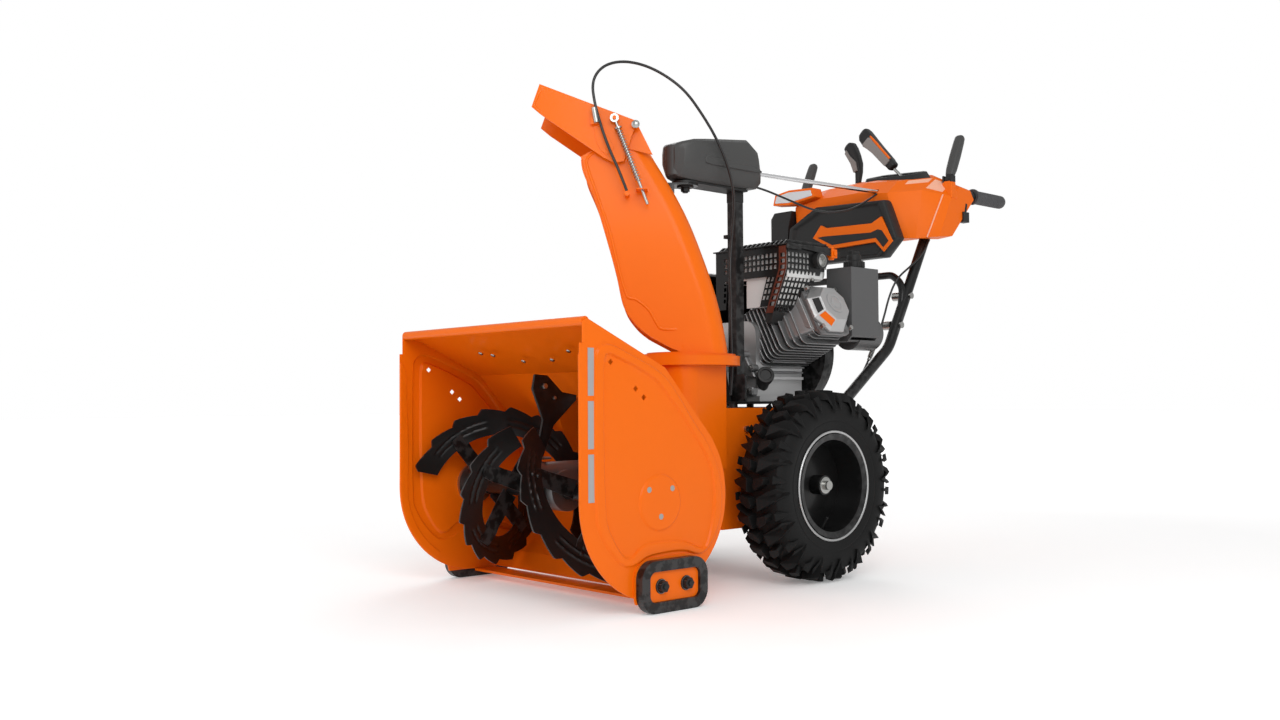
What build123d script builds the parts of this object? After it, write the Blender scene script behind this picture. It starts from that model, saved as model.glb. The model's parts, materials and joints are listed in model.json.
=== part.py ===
from build123d import *
import math
import os

# Two-stage walk-behind snow blower, millimetres, +Z up.
# X runs across the machine (+X is the operator's left), -Y is the front, where snow goes in.
# Every function below works in a frame whose y = 0 is the wheel axle; write_part() then moves
# the piece so that the origin lies midway between the housing's front edge and the grips' ends.

# ---- auger housing ----------------------------------------------------------------------
CLEARING_WIDTH = 610.0          # outside of one side plate to the outside of the other
SHEET = 3.0                     # housing sheet steel
HOUSING_FRONT_Y = -690.0
HOUSING_BOTTOM_Z = 18.0         # underside of the housing, held up by the skids
AUGER_Y = -500.0
AUGER_Z = 208.0
HOUSING_FRONT_R = 190.0         # round front corner, about the auger axis
HOUSING_BACK_R = 177.0          # round back wall, about the auger axis
STEP_Z = 492.0                  # small notch in the front edge
STEP_IN = 7.0
LIP_Z = 531.0                   # rolled front lip of the roof
LIP_R = 9.0
ROOF_BACK_Y = -483.0
ROOF_BACK_Z = 451.0
BACK_TANGENT_DEG = 42.7         # where the sloping back meets the round back wall
BACK_END_DEG = -62.0            # where the round back wall ends, above the scraper
SCRAPER_T = 5.0
SCRAPER_DEPTH = 52.0
REFLECTOR_W = 14.0
REFLECTOR_L = 85.0
REFLECTOR_T = 0.6
REFLECTOR_Y = -665.0
REFLECTOR_PITCH = 94.5
REFLECTOR_LOW_Z = 209.5
HEM_W = 20.0                    # sheet folded inwards behind the end plates' front edges
TOOL_HOLES = [(-618, 459), (-558, 411), (-538, 395)]    # square holes that hold the chute tool
TOOL_HOLE_SIDE = 9.0

# ---- skid shoes -------------------------------------------------------------------------
SKID_L = 168.0
SKID_H = 96.0
SKID_Y = -479.0
SKID_T = 17.0                   # thickness across the machine
SKID_WALL = 20.0
SKID_CORNER = 34.0
SKID_SLOT_GAP = 64.0            # distance between the two clamp bolts
SKID_BOLT_R = 5.0
SKID_NUT_R = 10.0

# ---- impeller and its drum --------------------------------------------------------------
WORM_CENTRES = 36.0             # worm axis above the auger axis
IMPELLER_R = 160.0
IMPELLER_CLEAR = 5.0
IMPELLER_BLADES = 4
IMPELLER_FRONT_Y = -318.0
IMPELLER_BACK_Y = -196.0
DRUM_BACK_Y = -180.0
IMPELLER_SHAFT_R = 11.0
IMPELLER_HUB_R = 24.0
REAR_BEARING_R = 30.0
BLADE_T = 5.0

# ---- augers -----------------------------------------------------------------------------
AUGER_R = 170.0
RIBBON_W = 44.0
RIBBON_T = 4.0
RIBBON_TURNS = 0.62
RIBBONS = 2
AUGER_SHAFT_R = 12.5
AUGER_TUBE_R = 19.0
AUGER_END_GAP = 14.0            # auger's outer end to the side plate
GEAR_CASE_R = 42.0
GEAR_CASE_HALF = 34.0
WORM_WHEEL_R = 24.6
WORM_R = 10.4

# ---- chute ------------------------------------------------------------------------------
RING_X = 90.0
RING_Y = -217.0
RING_Z = 463.0
RING_H = 20.0
RING_R = 115.0
RING_BORE_R = 88.0
NECK_X = 164.0                  # box-like neck below the ring, across
NECK_Y = 182.0                  # and along
NECK_CORNER = 46.0
CHUTE_REST_DEG = -43.0          # how far the chute is turned from straight ahead
CHUTE_HALF_W = 85.0
CHUTE_WALL = 3.0
CHUTE_FLANGE_R = 106.0
CHUTE_BACK = [(-86, 487), (-74, 559), (-58, 623), (-33, 698), (-8, 763), (24, 828), (56, 882), (96, 957)]
CHUTE_FRONT = [(194, 918), (221, 903), (217, 875), (191, 808), (162, 711), (146, 648), (132, 585), (106, 546),
               (77, 522), (33, 498), (4, 487)]
CHUTE_CORNER_R = 38.0
HINGE_S = 105.0                 # deflector hinge, forward of the ring axis
HINGE_Z = 965.0
HINGE_PIN_R = 4.0
DEFLECTOR_HALF_W = 100.0
DEFLECTOR_WALL = 2.5
DEFLECTOR_SIDE = [(100, 973), (306, 1054), (323, 1006), (303, 989), (173, 898), (150, 886), (130, 890),
                  (113, 944)]
STUD_S = 149.0                  # spring rod's stud on the deflector
STUD_Z = 978.0
GUIDE_S = 93.0                  # spring rod's guide on the chute
GUIDE_Z = 829.0
ANCHOR_S = 124.0                # pin that holds the deflector cable's inner wire
ANCHOR_Z = 819.0
CABLE_T = 113.3                 # lateral place of the cable beside the hood
SPRING_ROD_R = 3.0
SPRING_R = 6.5
SPRING_TOP = 24.0               # from the stud down to the spring's top washer
SPRING_LENGTH = 90.0
SPRING_T = 110.0                # lateral place of the rod
ARM_PLATE_Z = 853.0
ARM_PLATE_T = 4.0
PIVOT_R = 6.0

# ---- gear head and post -----------------------------------------------------------------
POST_SIDE = 25.0
POST_Y = -60.0
HEAD_BOTTOM_Z = 863.0
HEAD_WIDE_Z = 902.0
HEAD_HIGH_Z = 940.0
HEAD_TOP_Z = 972.0
HEAD_REAR_Y = -4.0
HEAD_R = 53.0
HEAD_LOW_R = 34.0
HEAD_TOP_R = 40.0
HEAD_CASE_T = 5.0

# ---- wheels -----------------------------------------------------------------------------
TYRE_R = 205.0
TYRE_CARCASS_R = 187.0
TYRE_IN_X = 202.0
TYRE_OUT_X = 322.0
BEAD_R = 102.0
LUGS = 18
LUG_T = 17.0
LUG_TILT = 32.0
RIM_DISC_X = 250.0
HUB_R = 21.0
AXLE_R = 10.0
AXLE_END_X = 303.0

# ---- frame and drive --------------------------------------------------------------------
FRAME_HALF_W = 153.0
FRAME_T = 3.0
FRAME_FRONT_Y = -176.0
FRAME_REAR_Y = 214.0
FRAME_BOTTOM_Z = 112.0
FRAME_TOP_Z = 372.0
DECK_T = 6.0
DECK_GAP = 8.0                  # spacers between the frame's top and the engine deck
BELT_Y = -90.0                  # middle of the belt
BELT_W = 12.0
BELT_T = 8.0
AUGER_PULLEY_R = 100.0
ENGINE_PULLEY_R = 36.0
BELT_SLOT_X = (-86.0, 88.0)     # slot for the belt in the frame's top and in the deck
COVER_MARGIN = 7.0              # from the belt's outline to the cover's
COVER_WALL = 2.5
IDLER_R = 20.0

# ---- engine -----------------------------------------------------------------------------
CRANK_X = 8.0
CRANK_Z = 500.0
CRANK_R = 12.5
CASE_FRONT_Y = -8.0
CASE_REAR_Y = 192.0
CYLINDER_Y = 130.0
CYLINDER_DEG = 27.0             # cylinder's rise above level, towards +X
BORE_BLOCK = 116.0
FINS = 9
ROCKER_FLATS = 112.0
ROCKER_FACE = 226.0             # from the crank to the rocker cover's face, along the cylinder
GUARD_X = (-30.0, 190.0)
GUARD_Y = (0.0, 156.0)
GUARD_TOP_Z = 735.0
GUARD_T = 2.0
MUFFLER_CORNER_R = 16.0
MUFFLER_GAP = 14.0              # from the guard's ends to the silencer box
MUFFLER_Y = (12.0, 148.0)
MUFFLER_Z = (664.0, 722.0)
OUTLET_Y = 106.0
OUTLET_Z = 705.0
TANK_RIGHT_X = 213.0
TANK_Y = (200.0, 303.0)
TANK_Z = (524.0, 698.0)
TANK_WALL = 4.0
CAP_R = 24.0
SHROUD_R = 132.0
SHROUD_DEPTH = 32.0
RECOIL_R = 92.0
RECOIL_CORD_R = 2.5
RECOIL_SLOPE = 0.27                # the starter cord's rise per length, outwards

# ---- handlebars and controls ------------------------------------------------------------
TUBE_R = 13.0
TUBE_WALL = 2.0
LOWER_X = 190.0
CROSS_R = 9.0                    # cross tube between the handles
CROSS_Y = 452.0
CROSS_Z = 700.0
UPPER_X = 240.0
GRIP_START_Y = 669.0
GRIP_END_Y = 808.0
GRIP_Z = 909.0
GRIP_R = 17.0
LEVER_HINGE_Y = 566.0
LEVER_HINGE_Z = 941.0
LEVER_DEG = 65.0                # lean of a clutch lever above level, towards the operator
LEVER_L = 130.0
LEVER_PIN_R = 4.0
ROD_R = 5.0
ROD_START = (90.0, -3.0, 909.0)
JOY_PIVOT = (118.0, 560.0, 914.0)
JOY_LEAN_DEG = 33.0
JOY_LENGTH = 236.0
SPEED_X = -72.0
SPEED_PIVOT_Y = 590.0
SPEED_PIVOT_Z = 930.0

POD_Y = (404.0, 446.0)           # black pod under the panel, front face to its open back
POD_WALL = 6.0

RUNNING_FIT = 0.06              # radial clearance of a shaft in its bore
CLEAR = 0.3                     # gap between faces that slide past each other

TO_ORIGIN = Pos(0, -(HOUSING_FRONT_Y + GRIP_END_Y) / 2, 0)


# ---- shared helpers ---------------------------------------------------------------------
def block(x, y, z):
    """A box between the pairs of limits x, y and z."""
    size = (x[1] - x[0], y[1] - y[0], z[1] - z[0])
    return Pos((x[0] + x[1]) / 2, (y[0] + y[1]) / 2, (z[0] + z[1]) / 2) * Box(*size)


def bar(start, end, radius):
    """A round bar between two points."""
    a = Vector(*start)
    b = Vector(*end)
    stick = Cylinder(radius, (b - a).length, align=(Align.CENTER, Align.CENTER, Align.MIN))
    return Plane(origin=a, z_dir=b - a) * stick


def ring(start, end, radius, bore):
    return bar(start, end, radius) - bar(start, end, bore)


def side_slab(points, x):
    """An outline in (y, z), between two values of x."""
    wire = Polyline(*[(x[0], y, z) for y, z in points], close=True)
    return extrude(make_face(wire), amount=x[1] - x[0], dir=(1, 0, 0))


def front_slab(points, y):
    """An outline in (x, z), between two values of y."""
    wire = Polyline(*[(px, y[0], z) for px, z in points], close=True)
    return extrude(make_face(wire), amount=y[1] - y[0], dir=(0, 1, 0))


def tube(points, bends, radius, bore=0.0):
    """A tube along straight runs joined by arcs of the given radii."""
    path = FilletPolyline(*points, radius=bends)
    start = Plane(origin=path @ 0, z_dir=path % 0)
    section = start * Circle(radius)
    if bore:
        section = section - start * Circle(bore)
    return sweep(section, path=path)


def bend_radii(points, share=0.45):
    """The largest arc that each corner of a route leaves room for."""
    radii = []
    for before, here, after in zip(points, points[1:], points[2:]):
        run_in = Vector(*here) - Vector(*before)
        run_out = Vector(*after) - Vector(*here)
        turn = math.radians(run_in.get_angle(run_out))
        radii.append(share * min(run_in.length, run_out.length) / math.tan(turn / 2))
    return radii


def both_sides(shape):
    return Compound([shape, mirror(shape, about=Plane.YZ)])


def around_auger(radius, degrees):
    angle = math.radians(degrees)
    return (AUGER_Y + radius * math.cos(angle), AUGER_Z + radius * math.sin(angle))


def to_chute(shape):
    """From the chute's own frame (facing -Y, about its turning axis) to the machine."""
    return Pos(RING_X, RING_Y, 0) * Rot(0, 0, CHUTE_REST_DEG) * shape


def chute_slab(points, half_width):
    """An outline in (distance ahead of the turning axis, z), across the chute."""
    return side_slab([(-s, z) for s, z in points], (-half_width, half_width))


# ---- auger housing ----------------------------------------------------------------------
def housing_profile(inset=0.0):
    """Side outline of the housing as a face in the plane x = 0."""
    front = HOUSING_FRONT_Y + inset
    bottom = HOUSING_BOTTOM_Z + inset
    r_front = HOUSING_FRONT_R - inset
    r_back = HOUSING_BACK_R - inset
    back_end = around_auger(r_back, BACK_END_DEG)
    tangent = around_auger(r_back, BACK_TANGENT_DEG)
    step = front + STEP_IN
    edges = [
        Line((0, front, STEP_Z), (0, front, AUGER_Z)),
        ThreePointArc((0, front, AUGER_Z), (0, *around_auger(r_front, 225)), (0, AUGER_Y, AUGER_Z - r_front)),
        Line((0, AUGER_Y, AUGER_Z - r_front), (0, back_end[0] - 30, bottom)),
        Line((0, back_end[0] - 30, bottom), (0, *back_end)),
        ThreePointArc((0, *back_end), (0, *around_auger(r_back, -10)), (0, *tangent)),
        Line((0, *tangent), (0, ROOF_BACK_Y - inset * 0.4, ROOF_BACK_Z - inset)),
        Line((0, ROOF_BACK_Y - inset * 0.4, ROOF_BACK_Z - inset), (0, step + 12, LIP_Z + 5 - inset)),
        Line((0, step + 12, LIP_Z + 5 - inset), (0, step, LIP_Z - inset)),
        Line((0, step, LIP_Z - inset), (0, step, STEP_Z)),
        Line((0, step, STEP_Z), (0, front, STEP_Z)),
    ]
    return make_face(Wire(edges))


def housing_block(inset, half_width):
    face = Pos(-half_width, 0, 0) * housing_profile(inset)
    return extrude(face, amount=2 * half_width, dir=(1, 0, 0))


def side_plate():
    """The left end plate, with the auger shaft's hole and three mounting holes of a chute tool."""
    inner = CLEARING_WIDTH / 2 - SHEET
    plate = extrude(Pos(inner, 0, 0) * housing_profile(), amount=SHEET, dir=(1, 0, 0))
    plate -= bar((inner - 1, AUGER_Y, AUGER_Z), (inner + SHEET + 1, AUGER_Y, AUGER_Z), AUGER_SHAFT_R + 6)
    for y, z in TOOL_HOLES:
        hole = Pos(inner + SHEET / 2, y, z) * Rot(45, 0, 0) * Box(3 * SHEET, TOOL_HOLE_SIDE, TOOL_HOLE_SIDE)
        plate -= hole
    return plate + front_hem()


def front_hem():
    """Folded edge inside the left end plate, from the notch down round the front corner."""
    x = CLEARING_WIDTH / 2 - 2 * SHEET
    outer = extrude(Pos(x, 0, 0) * housing_profile(), amount=SHEET, dir=(1, 0, 0))
    inner = extrude(Pos(x - 1, 0, 0) * housing_profile(HEM_W), amount=SHEET + 2, dir=(1, 0, 0))
    above = block((0, CLEARING_WIDTH), (HOUSING_FRONT_Y - HEM_W, 0), (STEP_Z - HEM_W, LIP_Z + HEM_W))
    behind = block((0, CLEARING_WIDTH), (HOUSING_FRONT_Y + HOUSING_FRONT_R / 2, 0), (-HEM_W, LIP_Z + HEM_W))
    return outer - inner - above - behind


def housing_shell():
    """Roof, rolled lip and back wall, bent from one sheet between the end plates."""
    half = CLEARING_WIDTH / 2 - SHEET
    shell = housing_block(0, half) - housing_block(SHEET, half + 1)
    mouth = block((-half - 1, half + 1), (HOUSING_FRONT_Y - 5, AUGER_Y + 55), (0, AUGER_Z))
    lip_y = HOUSING_FRONT_Y + STEP_IN + 8
    front = block((-half - 1, half + 1), (HOUSING_FRONT_Y - 5, lip_y), (0, LIP_Z + 20))
    shell = shell - mouth - front
    shell += bar((-half, lip_y, LIP_Z), (half, lip_y, LIP_Z), LIP_R)
    shell -= bar((0, AUGER_Y + 60, impeller_z()), (0, DRUM_BACK_Y, impeller_z()), IMPELLER_R + IMPELLER_CLEAR)
    return shell


def impeller_z():
    return AUGER_Z + WORM_CENTRES


def scraper_bar():
    """Replaceable wear bar under the housing's back edge."""
    half = CLEARING_WIDTH / 2 - SHEET - CLEAR
    back = around_auger(HOUSING_BACK_R, BACK_END_DEG)[0] - 30
    z = (HOUSING_BOTTOM_Z - SCRAPER_T, HOUSING_BOTTOM_Z)
    return block((-half, half), (back - SCRAPER_DEPTH, back), z)


def reflectors():
    """Three strips near the front edge of each end plate."""
    x = CLEARING_WIDTH / 2
    strips = []
    for i in range(3):
        low = REFLECTOR_LOW_Z + i * REFLECTOR_PITCH
        y = (REFLECTOR_Y - REFLECTOR_W / 2, REFLECTOR_Y + REFLECTOR_W / 2)
        strips.append(block((x, x + REFLECTOR_T), y, (low, low + REFLECTOR_L)))
        strips.append(block((-x - REFLECTOR_T, -x), y, (low, low + REFLECTOR_L)))
    return Compound(strips)


def skid_outline(grow=0.0):
    """Octagon-like outline of a shoe, centred on its own middle."""
    loop = RectangleRounded(SKID_L + 2 * grow, SKID_H + 2 * grow, SKID_CORNER + grow)
    return Rot(0, 90, 0) * Rot(0, 0, 90) * loop


def skid_x():
    return CLEARING_WIDTH / 2 + SHEET


def skid_shoe():
    """Hollow black runner clamped outside an end plate; its underside carries the housing."""
    outer = extrude(skid_outline(), amount=SKID_T, dir=(1, 0, 0))
    inner = extrude(skid_outline(-SKID_WALL), amount=SKID_T, dir=(1, 0, 0))
    return Pos(skid_x(), SKID_Y, SKID_H / 2) * (outer - inner)


def skid_bracket():
    """Orange plate inside the shoe, with the two bolt holes, welded to the end plate."""
    pad = extrude(skid_outline(-SKID_WALL - CLEAR), amount=SKID_T - 6, dir=(1, 0, 0))
    pad = Pos(skid_x(), SKID_Y, SKID_H / 2) * pad
    backing = extrude(skid_outline(4), amount=SHEET, dir=(1, 0, 0))
    backing = Pos(skid_x() - SHEET, SKID_Y, SKID_H / 2) * backing
    below = block((0, 400), (SKID_Y - SKID_L, SKID_Y + SKID_L), (-50, HOUSING_BOTTOM_Z))
    pad = pad + (backing - below)
    for side in (-1, 1):
        y = SKID_Y + side * SKID_SLOT_GAP / 2
        z = SKID_H / 2
        pad -= bar((skid_x() - SHEET - 1, y, z), (skid_x() + SKID_T, y, z), SKID_BOLT_R + RUNNING_FIT)
    return pad


def skid_bolts():
    """Clamp bolts with flanged nuts, two for each shoe."""
    bolts = []
    for side in (-1, 1):
        y = SKID_Y + side * SKID_SLOT_GAP / 2
        z = SKID_H / 2
        face = skid_x() + SKID_T - 6
        shank = bar((skid_x() - SHEET, y, z), (face + 12, y, z), SKID_BOLT_R)
        flange = bar((face, y, z), (face + 2.5, y, z), SKID_NUT_R + 3)
        hexagon = Rot(0, 90, 0) * RegularPolygon(SKID_NUT_R, 6)
        nut = Pos(face + 2.5, y, z) * extrude(hexagon, amount=8, dir=(1, 0, 0))
        bolts.append(shank + flange + nut)
    return bolts


def bearing_bolts():
    """Three bolts that hold each auger bearing to its end plate."""
    bolts = []
    x = CLEARING_WIDTH / 2
    for degrees in (150, 30, 270):
        y, z = around_auger(34, degrees)
        bolts.append(bar((x, y, z), (x + 4, y, z), 5.5))
    return bolts


# ---- impeller drum and neck -------------------------------------------------------------
def drum_bore_r():
    return IMPELLER_R + IMPELLER_CLEAR


def impeller_drum():
    """Round impeller housing, its rear plate, and the neck that leads up to the chute ring."""
    z = impeller_z()
    front = AUGER_Y + 100
    outer_r = drum_bore_r() + SHEET
    drum = bar((0, front, z), (0, DRUM_BACK_Y, z), outer_r)
    neck_outline = Pos(RING_X, RING_Y, z) * RectangleRounded(NECK_X, NECK_Y, NECK_CORNER)
    neck = extrude(neck_outline, amount=RING_Z - z, dir=(0, 0, 1))
    neck_hole = Pos(RING_X, RING_Y, z) * RectangleRounded(NECK_X - 2 * SHEET, NECK_Y - 2 * SHEET,
                                                          NECK_CORNER - SHEET)
    neck_bore = extrude(neck_hole, amount=RING_Z - z, dir=(0, 0, 1))
    shell = drum + neck
    shell -= neck_bore
    shell -= bar((0, front - 1, z), (0, DRUM_BACK_Y - SHEET, z), drum_bore_r())
    shell -= bar((0, DRUM_BACK_Y - 9, z), (0, DRUM_BACK_Y + 9, z), REAR_BEARING_R)
    shell -= block((-CLEARING_WIDTH, CLEARING_WIDTH), (DRUM_BACK_Y, 0), (0, RING_Z + 1))
    shell -= housing_block(0, CLEARING_WIDTH / 2 + 20)
    return shell.solids().sort_by(SortBy.VOLUME)[-1]


def chute_ring():
    """Flat collar that the chute turns on."""
    return ring((RING_X, RING_Y, RING_Z), (RING_X, RING_Y, RING_Z + RING_H), RING_R, RING_BORE_R)


def shaft_bearings():
    """Auger bushes in the end plates, the impeller's rear bearing, and the axle bushes."""
    inner = CLEARING_WIDTH / 2 - SHEET
    bush = ring((inner - 8, AUGER_Y, AUGER_Z), (inner + SHEET, AUGER_Y, AUGER_Z), AUGER_SHAFT_R + 6,
                AUGER_SHAFT_R + RUNNING_FIT)
    bush += ring((inner - 8, AUGER_Y, AUGER_Z), (inner, AUGER_Y, AUGER_Z), 45, AUGER_SHAFT_R + RUNNING_FIT)
    rear = ring((0, DRUM_BACK_Y - SHEET - 2, impeller_z()), (0, DRUM_BACK_Y + 2, impeller_z()),
                REAR_BEARING_R,
                IMPELLER_SHAFT_R + RUNNING_FIT)
    axle = ring((FRAME_HALF_W - 12, 0, TYRE_R), (FRAME_HALF_W, 0, TYRE_R), AXLE_R + 8, AXLE_R + RUNNING_FIT)
    return Compound([bush, mirror(bush, about=Plane.YZ), rear, axle, mirror(axle, about=Plane.YZ)])


# ---- augers and impeller ----------------------------------------------------------------
def auger_gearbox():
    """Cast worm-gear case that hangs on the two shafts, with a round nose and a rear snout."""
    z = impeller_z()
    case = bar((-GEAR_CASE_HALF, AUGER_Y, AUGER_Z), (GEAR_CASE_HALF, AUGER_Y, AUGER_Z), GEAR_CASE_R)
    case += bar((0, AUGER_Y - 52, z), (0, AUGER_Y + 74, z), WORM_R + 12)
    case += bar((0, AUGER_Y - 66, z), (0, AUGER_Y - 50, z), WORM_R + 17)
    hollow = bar((-GEAR_CASE_HALF + 7, AUGER_Y, AUGER_Z), (GEAR_CASE_HALF - 7, AUGER_Y, AUGER_Z),
                 WORM_WHEEL_R + 4)
    case -= hollow
    case -= bar((0, AUGER_Y - 44, z), (0, AUGER_Y + 44, z), WORM_R + 3)
    case -= bar((0, AUGER_Y - 60, z), (0, AUGER_Y + 80, z), IMPELLER_SHAFT_R + RUNNING_FIT)
    case -= bar((-GEAR_CASE_HALF - 1, AUGER_Y, AUGER_Z), (GEAR_CASE_HALF + 1, AUGER_Y, AUGER_Z),
                AUGER_SHAFT_R + RUNNING_FIT)
    return case


def auger_shaft():
    """Cross shaft through both end plates, with the worm wheel keyed to its middle."""
    half = CLEARING_WIDTH / 2 + 2
    shaft = bar((-half, AUGER_Y, AUGER_Z), (half, AUGER_Y, AUGER_Z), AUGER_SHAFT_R)
    return shaft + bar((-10, AUGER_Y, AUGER_Z), (10, AUGER_Y, AUGER_Z), WORM_WHEEL_R)


def auger_flight(side):
    """One auger: serrated ribbons on flat arms, welded to a tube that slides over the shaft."""
    inner_x = GEAR_CASE_HALF + 3
    outer_x = CLEARING_WIDTH / 2 - SHEET - AUGER_END_GAP
    length = outer_x - inner_x
    mid_r = AUGER_R - RIBBON_W / 2
    turned_height = RIBBON_T / math.cos(math.atan2(length / RIBBON_TURNS, 2 * math.pi * mid_r))
    body = ring((inner_x, 0, 0), (outer_x, 0, 0), AUGER_TUBE_R, AUGER_SHAFT_R + RUNNING_FIT)
    steps = 3
    for start in range(RIBBONS):
        phase = start * 360 / RIBBONS + 35
        helix = Helix(pitch=length / RIBBON_TURNS, height=length - turned_height, radius=mid_r)
        start_plane = Plane(origin=helix @ 0, x_dir=(1, 0, 0), z_dir=(0, -1, 0))
        section = start_plane * Rectangle(RIBBON_W, turned_height)
        ribbon = sweep(section, path=helix, is_frenet=True)
        along_x = Pos(inner_x + turned_height / 2, 0, 0) * Rot(0, 90, 0) * ribbon
        body += Rot(phase, 0, 0) * along_x
        for step in range(steps):
            share = (step + 0.5) / steps
            arm = ribbon_arm(inner_x + turned_height / 2 + share * (length - turned_height), mid_r)
            body += Rot(phase + share * RIBBON_TURNS * 360, 0, 0) * arm
    placed = Pos(0, AUGER_Y, AUGER_Z) * body
    return placed if side > 0 else mirror(placed, about=Plane.YZ)


def ribbon_arm(x, mid_r):
    """Flat arm from the auger's tube out to a ribbon that starts on the -Z side."""
    return block((x - 3, x + 3), (-16, 16), (-mid_r - 8, -AUGER_SHAFT_R - 2))


def impeller():
    """Hub with radial throwing blades."""
    z = impeller_z()
    wheel = ring((0, IMPELLER_FRONT_Y, z), (0, IMPELLER_BACK_Y, z), IMPELLER_HUB_R,
                 IMPELLER_SHAFT_R + RUNNING_FIT)
    for i in range(IMPELLER_BLADES):
        blade = block((-BLADE_T / 2, BLADE_T / 2), (IMPELLER_FRONT_Y + 20, IMPELLER_BACK_Y),
                      (IMPELLER_HUB_R - 2, IMPELLER_R))
        wheel += Pos(0, 0, z) * Rot(0, 20 + i * 360 / IMPELLER_BLADES, 0) * blade
    return wheel


def impeller_shaft():
    """Shaft from the worm in the gearbox back to the auger pulley."""
    z = impeller_z()
    shaft = bar((0, AUGER_Y - 56, z), (0, BELT_Y + BELT_W, z), IMPELLER_SHAFT_R)
    return shaft


# ---- belt drive -------------------------------------------------------------------------
def pulley(x, z, radius, bore):
    """V-belt pulley: two cheeks and a waist that the belt lies on."""
    half = BELT_W / 2 + CLEAR
    waist = ring((x, BELT_Y - half - 4, z), (x, BELT_Y + half + 4, z), radius, bore)
    cheek_r = radius + BELT_T + 3
    front = ring((x, BELT_Y - half - 4, z), (x, BELT_Y - half, z), cheek_r, bore)
    back = ring((x, BELT_Y + half, z), (x, BELT_Y + half + 4, z), cheek_r, bore)
    return waist + front + back


def belt_solid(grow, y):
    """The belt's loop round the two pulleys, filled in and grown outwards, between two values of y."""
    low = (0.0, impeller_z())
    high = (CRANK_X, CRANK_Z)
    r_low = AUGER_PULLEY_R + grow
    r_high = ENGINE_PULLEY_R + grow
    dx = high[0] - low[0]
    dz = high[1] - low[1]
    span = math.hypot(dx, dz)
    lean = math.atan2(dz, dx)
    open_angle = math.acos((r_low - r_high) / span)
    corners = []
    for centre, radius, sign in ((low, r_low, 1), (low, r_low, -1), (high, r_high, -1), (high, r_high, 1)):
        angle = lean + sign * open_angle
        corners.append((centre[0] + radius * math.cos(angle), centre[1] + radius * math.sin(angle)))
    middle = front_slab(corners, y)
    for centre, radius in ((low, r_low), (high, r_high)):
        middle += bar((centre[0], y[0], centre[1]), (centre[0], y[1], centre[1]), radius)
    return middle


def drive_belt():
    y = (BELT_Y - BELT_W / 2, BELT_Y + BELT_W / 2)
    return belt_solid(BELT_T + CLEAR, y) - belt_solid(CLEAR, y)


def belt_cover():
    """Black cover over the front of the belt above the deck, open towards the engine."""
    y = (BELT_Y - BELT_W / 2 - 8, BELT_Y + BELT_W / 2 + 8)
    outer = belt_solid(BELT_T + COVER_MARGIN + COVER_WALL, y)
    inner = belt_solid(BELT_T + COVER_MARGIN, (y[0] + COVER_WALL, y[1] + 1))
    below = block((-400, 400), (-400, 400), (0, deck_top_z()))
    collar = bar((RING_X, RING_Y, RING_Z), (RING_X, RING_Y, RING_Z + RING_H), RING_R + 1)
    return outer - inner - below - collar


# ---- frame, axle drive and wheels -------------------------------------------------------
def tractor_frame():
    """Orange box of folded sheet: two sides, a front wall bolted to the drum, and a flanged top."""
    side_shape = [(FRAME_FRONT_Y, FRAME_TOP_Z), (-60, FRAME_TOP_Z), (FRAME_REAR_Y, FRAME_TOP_Z),
                  (FRAME_REAR_Y, 190), (150, FRAME_BOTTOM_Z), (FRAME_FRONT_Y, FRAME_BOTTOM_Z)]
    side = side_slab(side_shape, (FRAME_HALF_W - FRAME_T, FRAME_HALF_W))
    side -= bar((FRAME_HALF_W - 10, 0, TYRE_R), (FRAME_HALF_W + 10, 0, TYRE_R), AXLE_R + 8)
    frame = side + mirror(side, about=Plane.YZ)
    half = FRAME_HALF_W - FRAME_T
    front = block((-half, half), (FRAME_FRONT_Y, FRAME_FRONT_Y + FRAME_T), (FRAME_BOTTOM_Z, FRAME_TOP_Z))
    front -= bar((0, FRAME_FRONT_Y - 1, impeller_z()), (0, FRAME_FRONT_Y + 9, impeller_z()),
                 IMPELLER_SHAFT_R + 12)
    top = block((-half, half), (FRAME_FRONT_Y, FRAME_REAR_Y), (FRAME_TOP_Z - FRAME_T, FRAME_TOP_Z))
    top -= block(BELT_SLOT_X, (BELT_Y - 13, BELT_Y + 13), (0, FRAME_TOP_Z + 5))
    rear = block((-half, half), (FRAME_REAR_Y - FRAME_T, FRAME_REAR_Y), (190, FRAME_TOP_Z))
    return frame + front + top + rear


def deck_top_z():
    return FRAME_TOP_Z + DECK_GAP + DECK_T


def engine_deck():
    """Black steel deck on spacers, which carries the engine, the belt cover and the post."""
    z = FRAME_TOP_Z + DECK_GAP
    deck = block((-120, FRAME_HALF_W - 8), (-118, FRAME_REAR_Y), (z, z + DECK_T))
    deck -= block(BELT_SLOT_X, (BELT_Y - 13, BELT_Y + 13), (z - 1, z + DECK_T + 1))
    for x in (-105, 128):
        for y in (-111, 60, 196):
            deck += bar((x, y, FRAME_TOP_Z), (x, y, z), 9)
    return deck


def transaxle_case():
    """Closed gear case inside the frame; the two half axles turn in it."""
    case = block((-70, 70), (-62, 62), (TYRE_R - 62, TYRE_R + 70))
    case = fillet(case.edges().filter_by(Axis.X), 18)
    case += block((-50, 50), (20, 120), (TYRE_R + 10, FRAME_TOP_Z - FRAME_T))
    case -= bar((-80, 0, TYRE_R), (80, 0, TYRE_R), AXLE_R + RUNNING_FIT)
    case -= bar((-14, 0, TYRE_R), (14, 0, TYRE_R), AXLE_R + 14)
    case -= bar((0, -80, impeller_z()), (0, -20, impeller_z()), IMPELLER_SHAFT_R + 6)
    keep_clear = bar((0, BELT_Y - 24, impeller_z()), (0, BELT_Y + 24, impeller_z()),
                     AUGER_PULLEY_R + BELT_T + 8)
    return case - keep_clear


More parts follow.
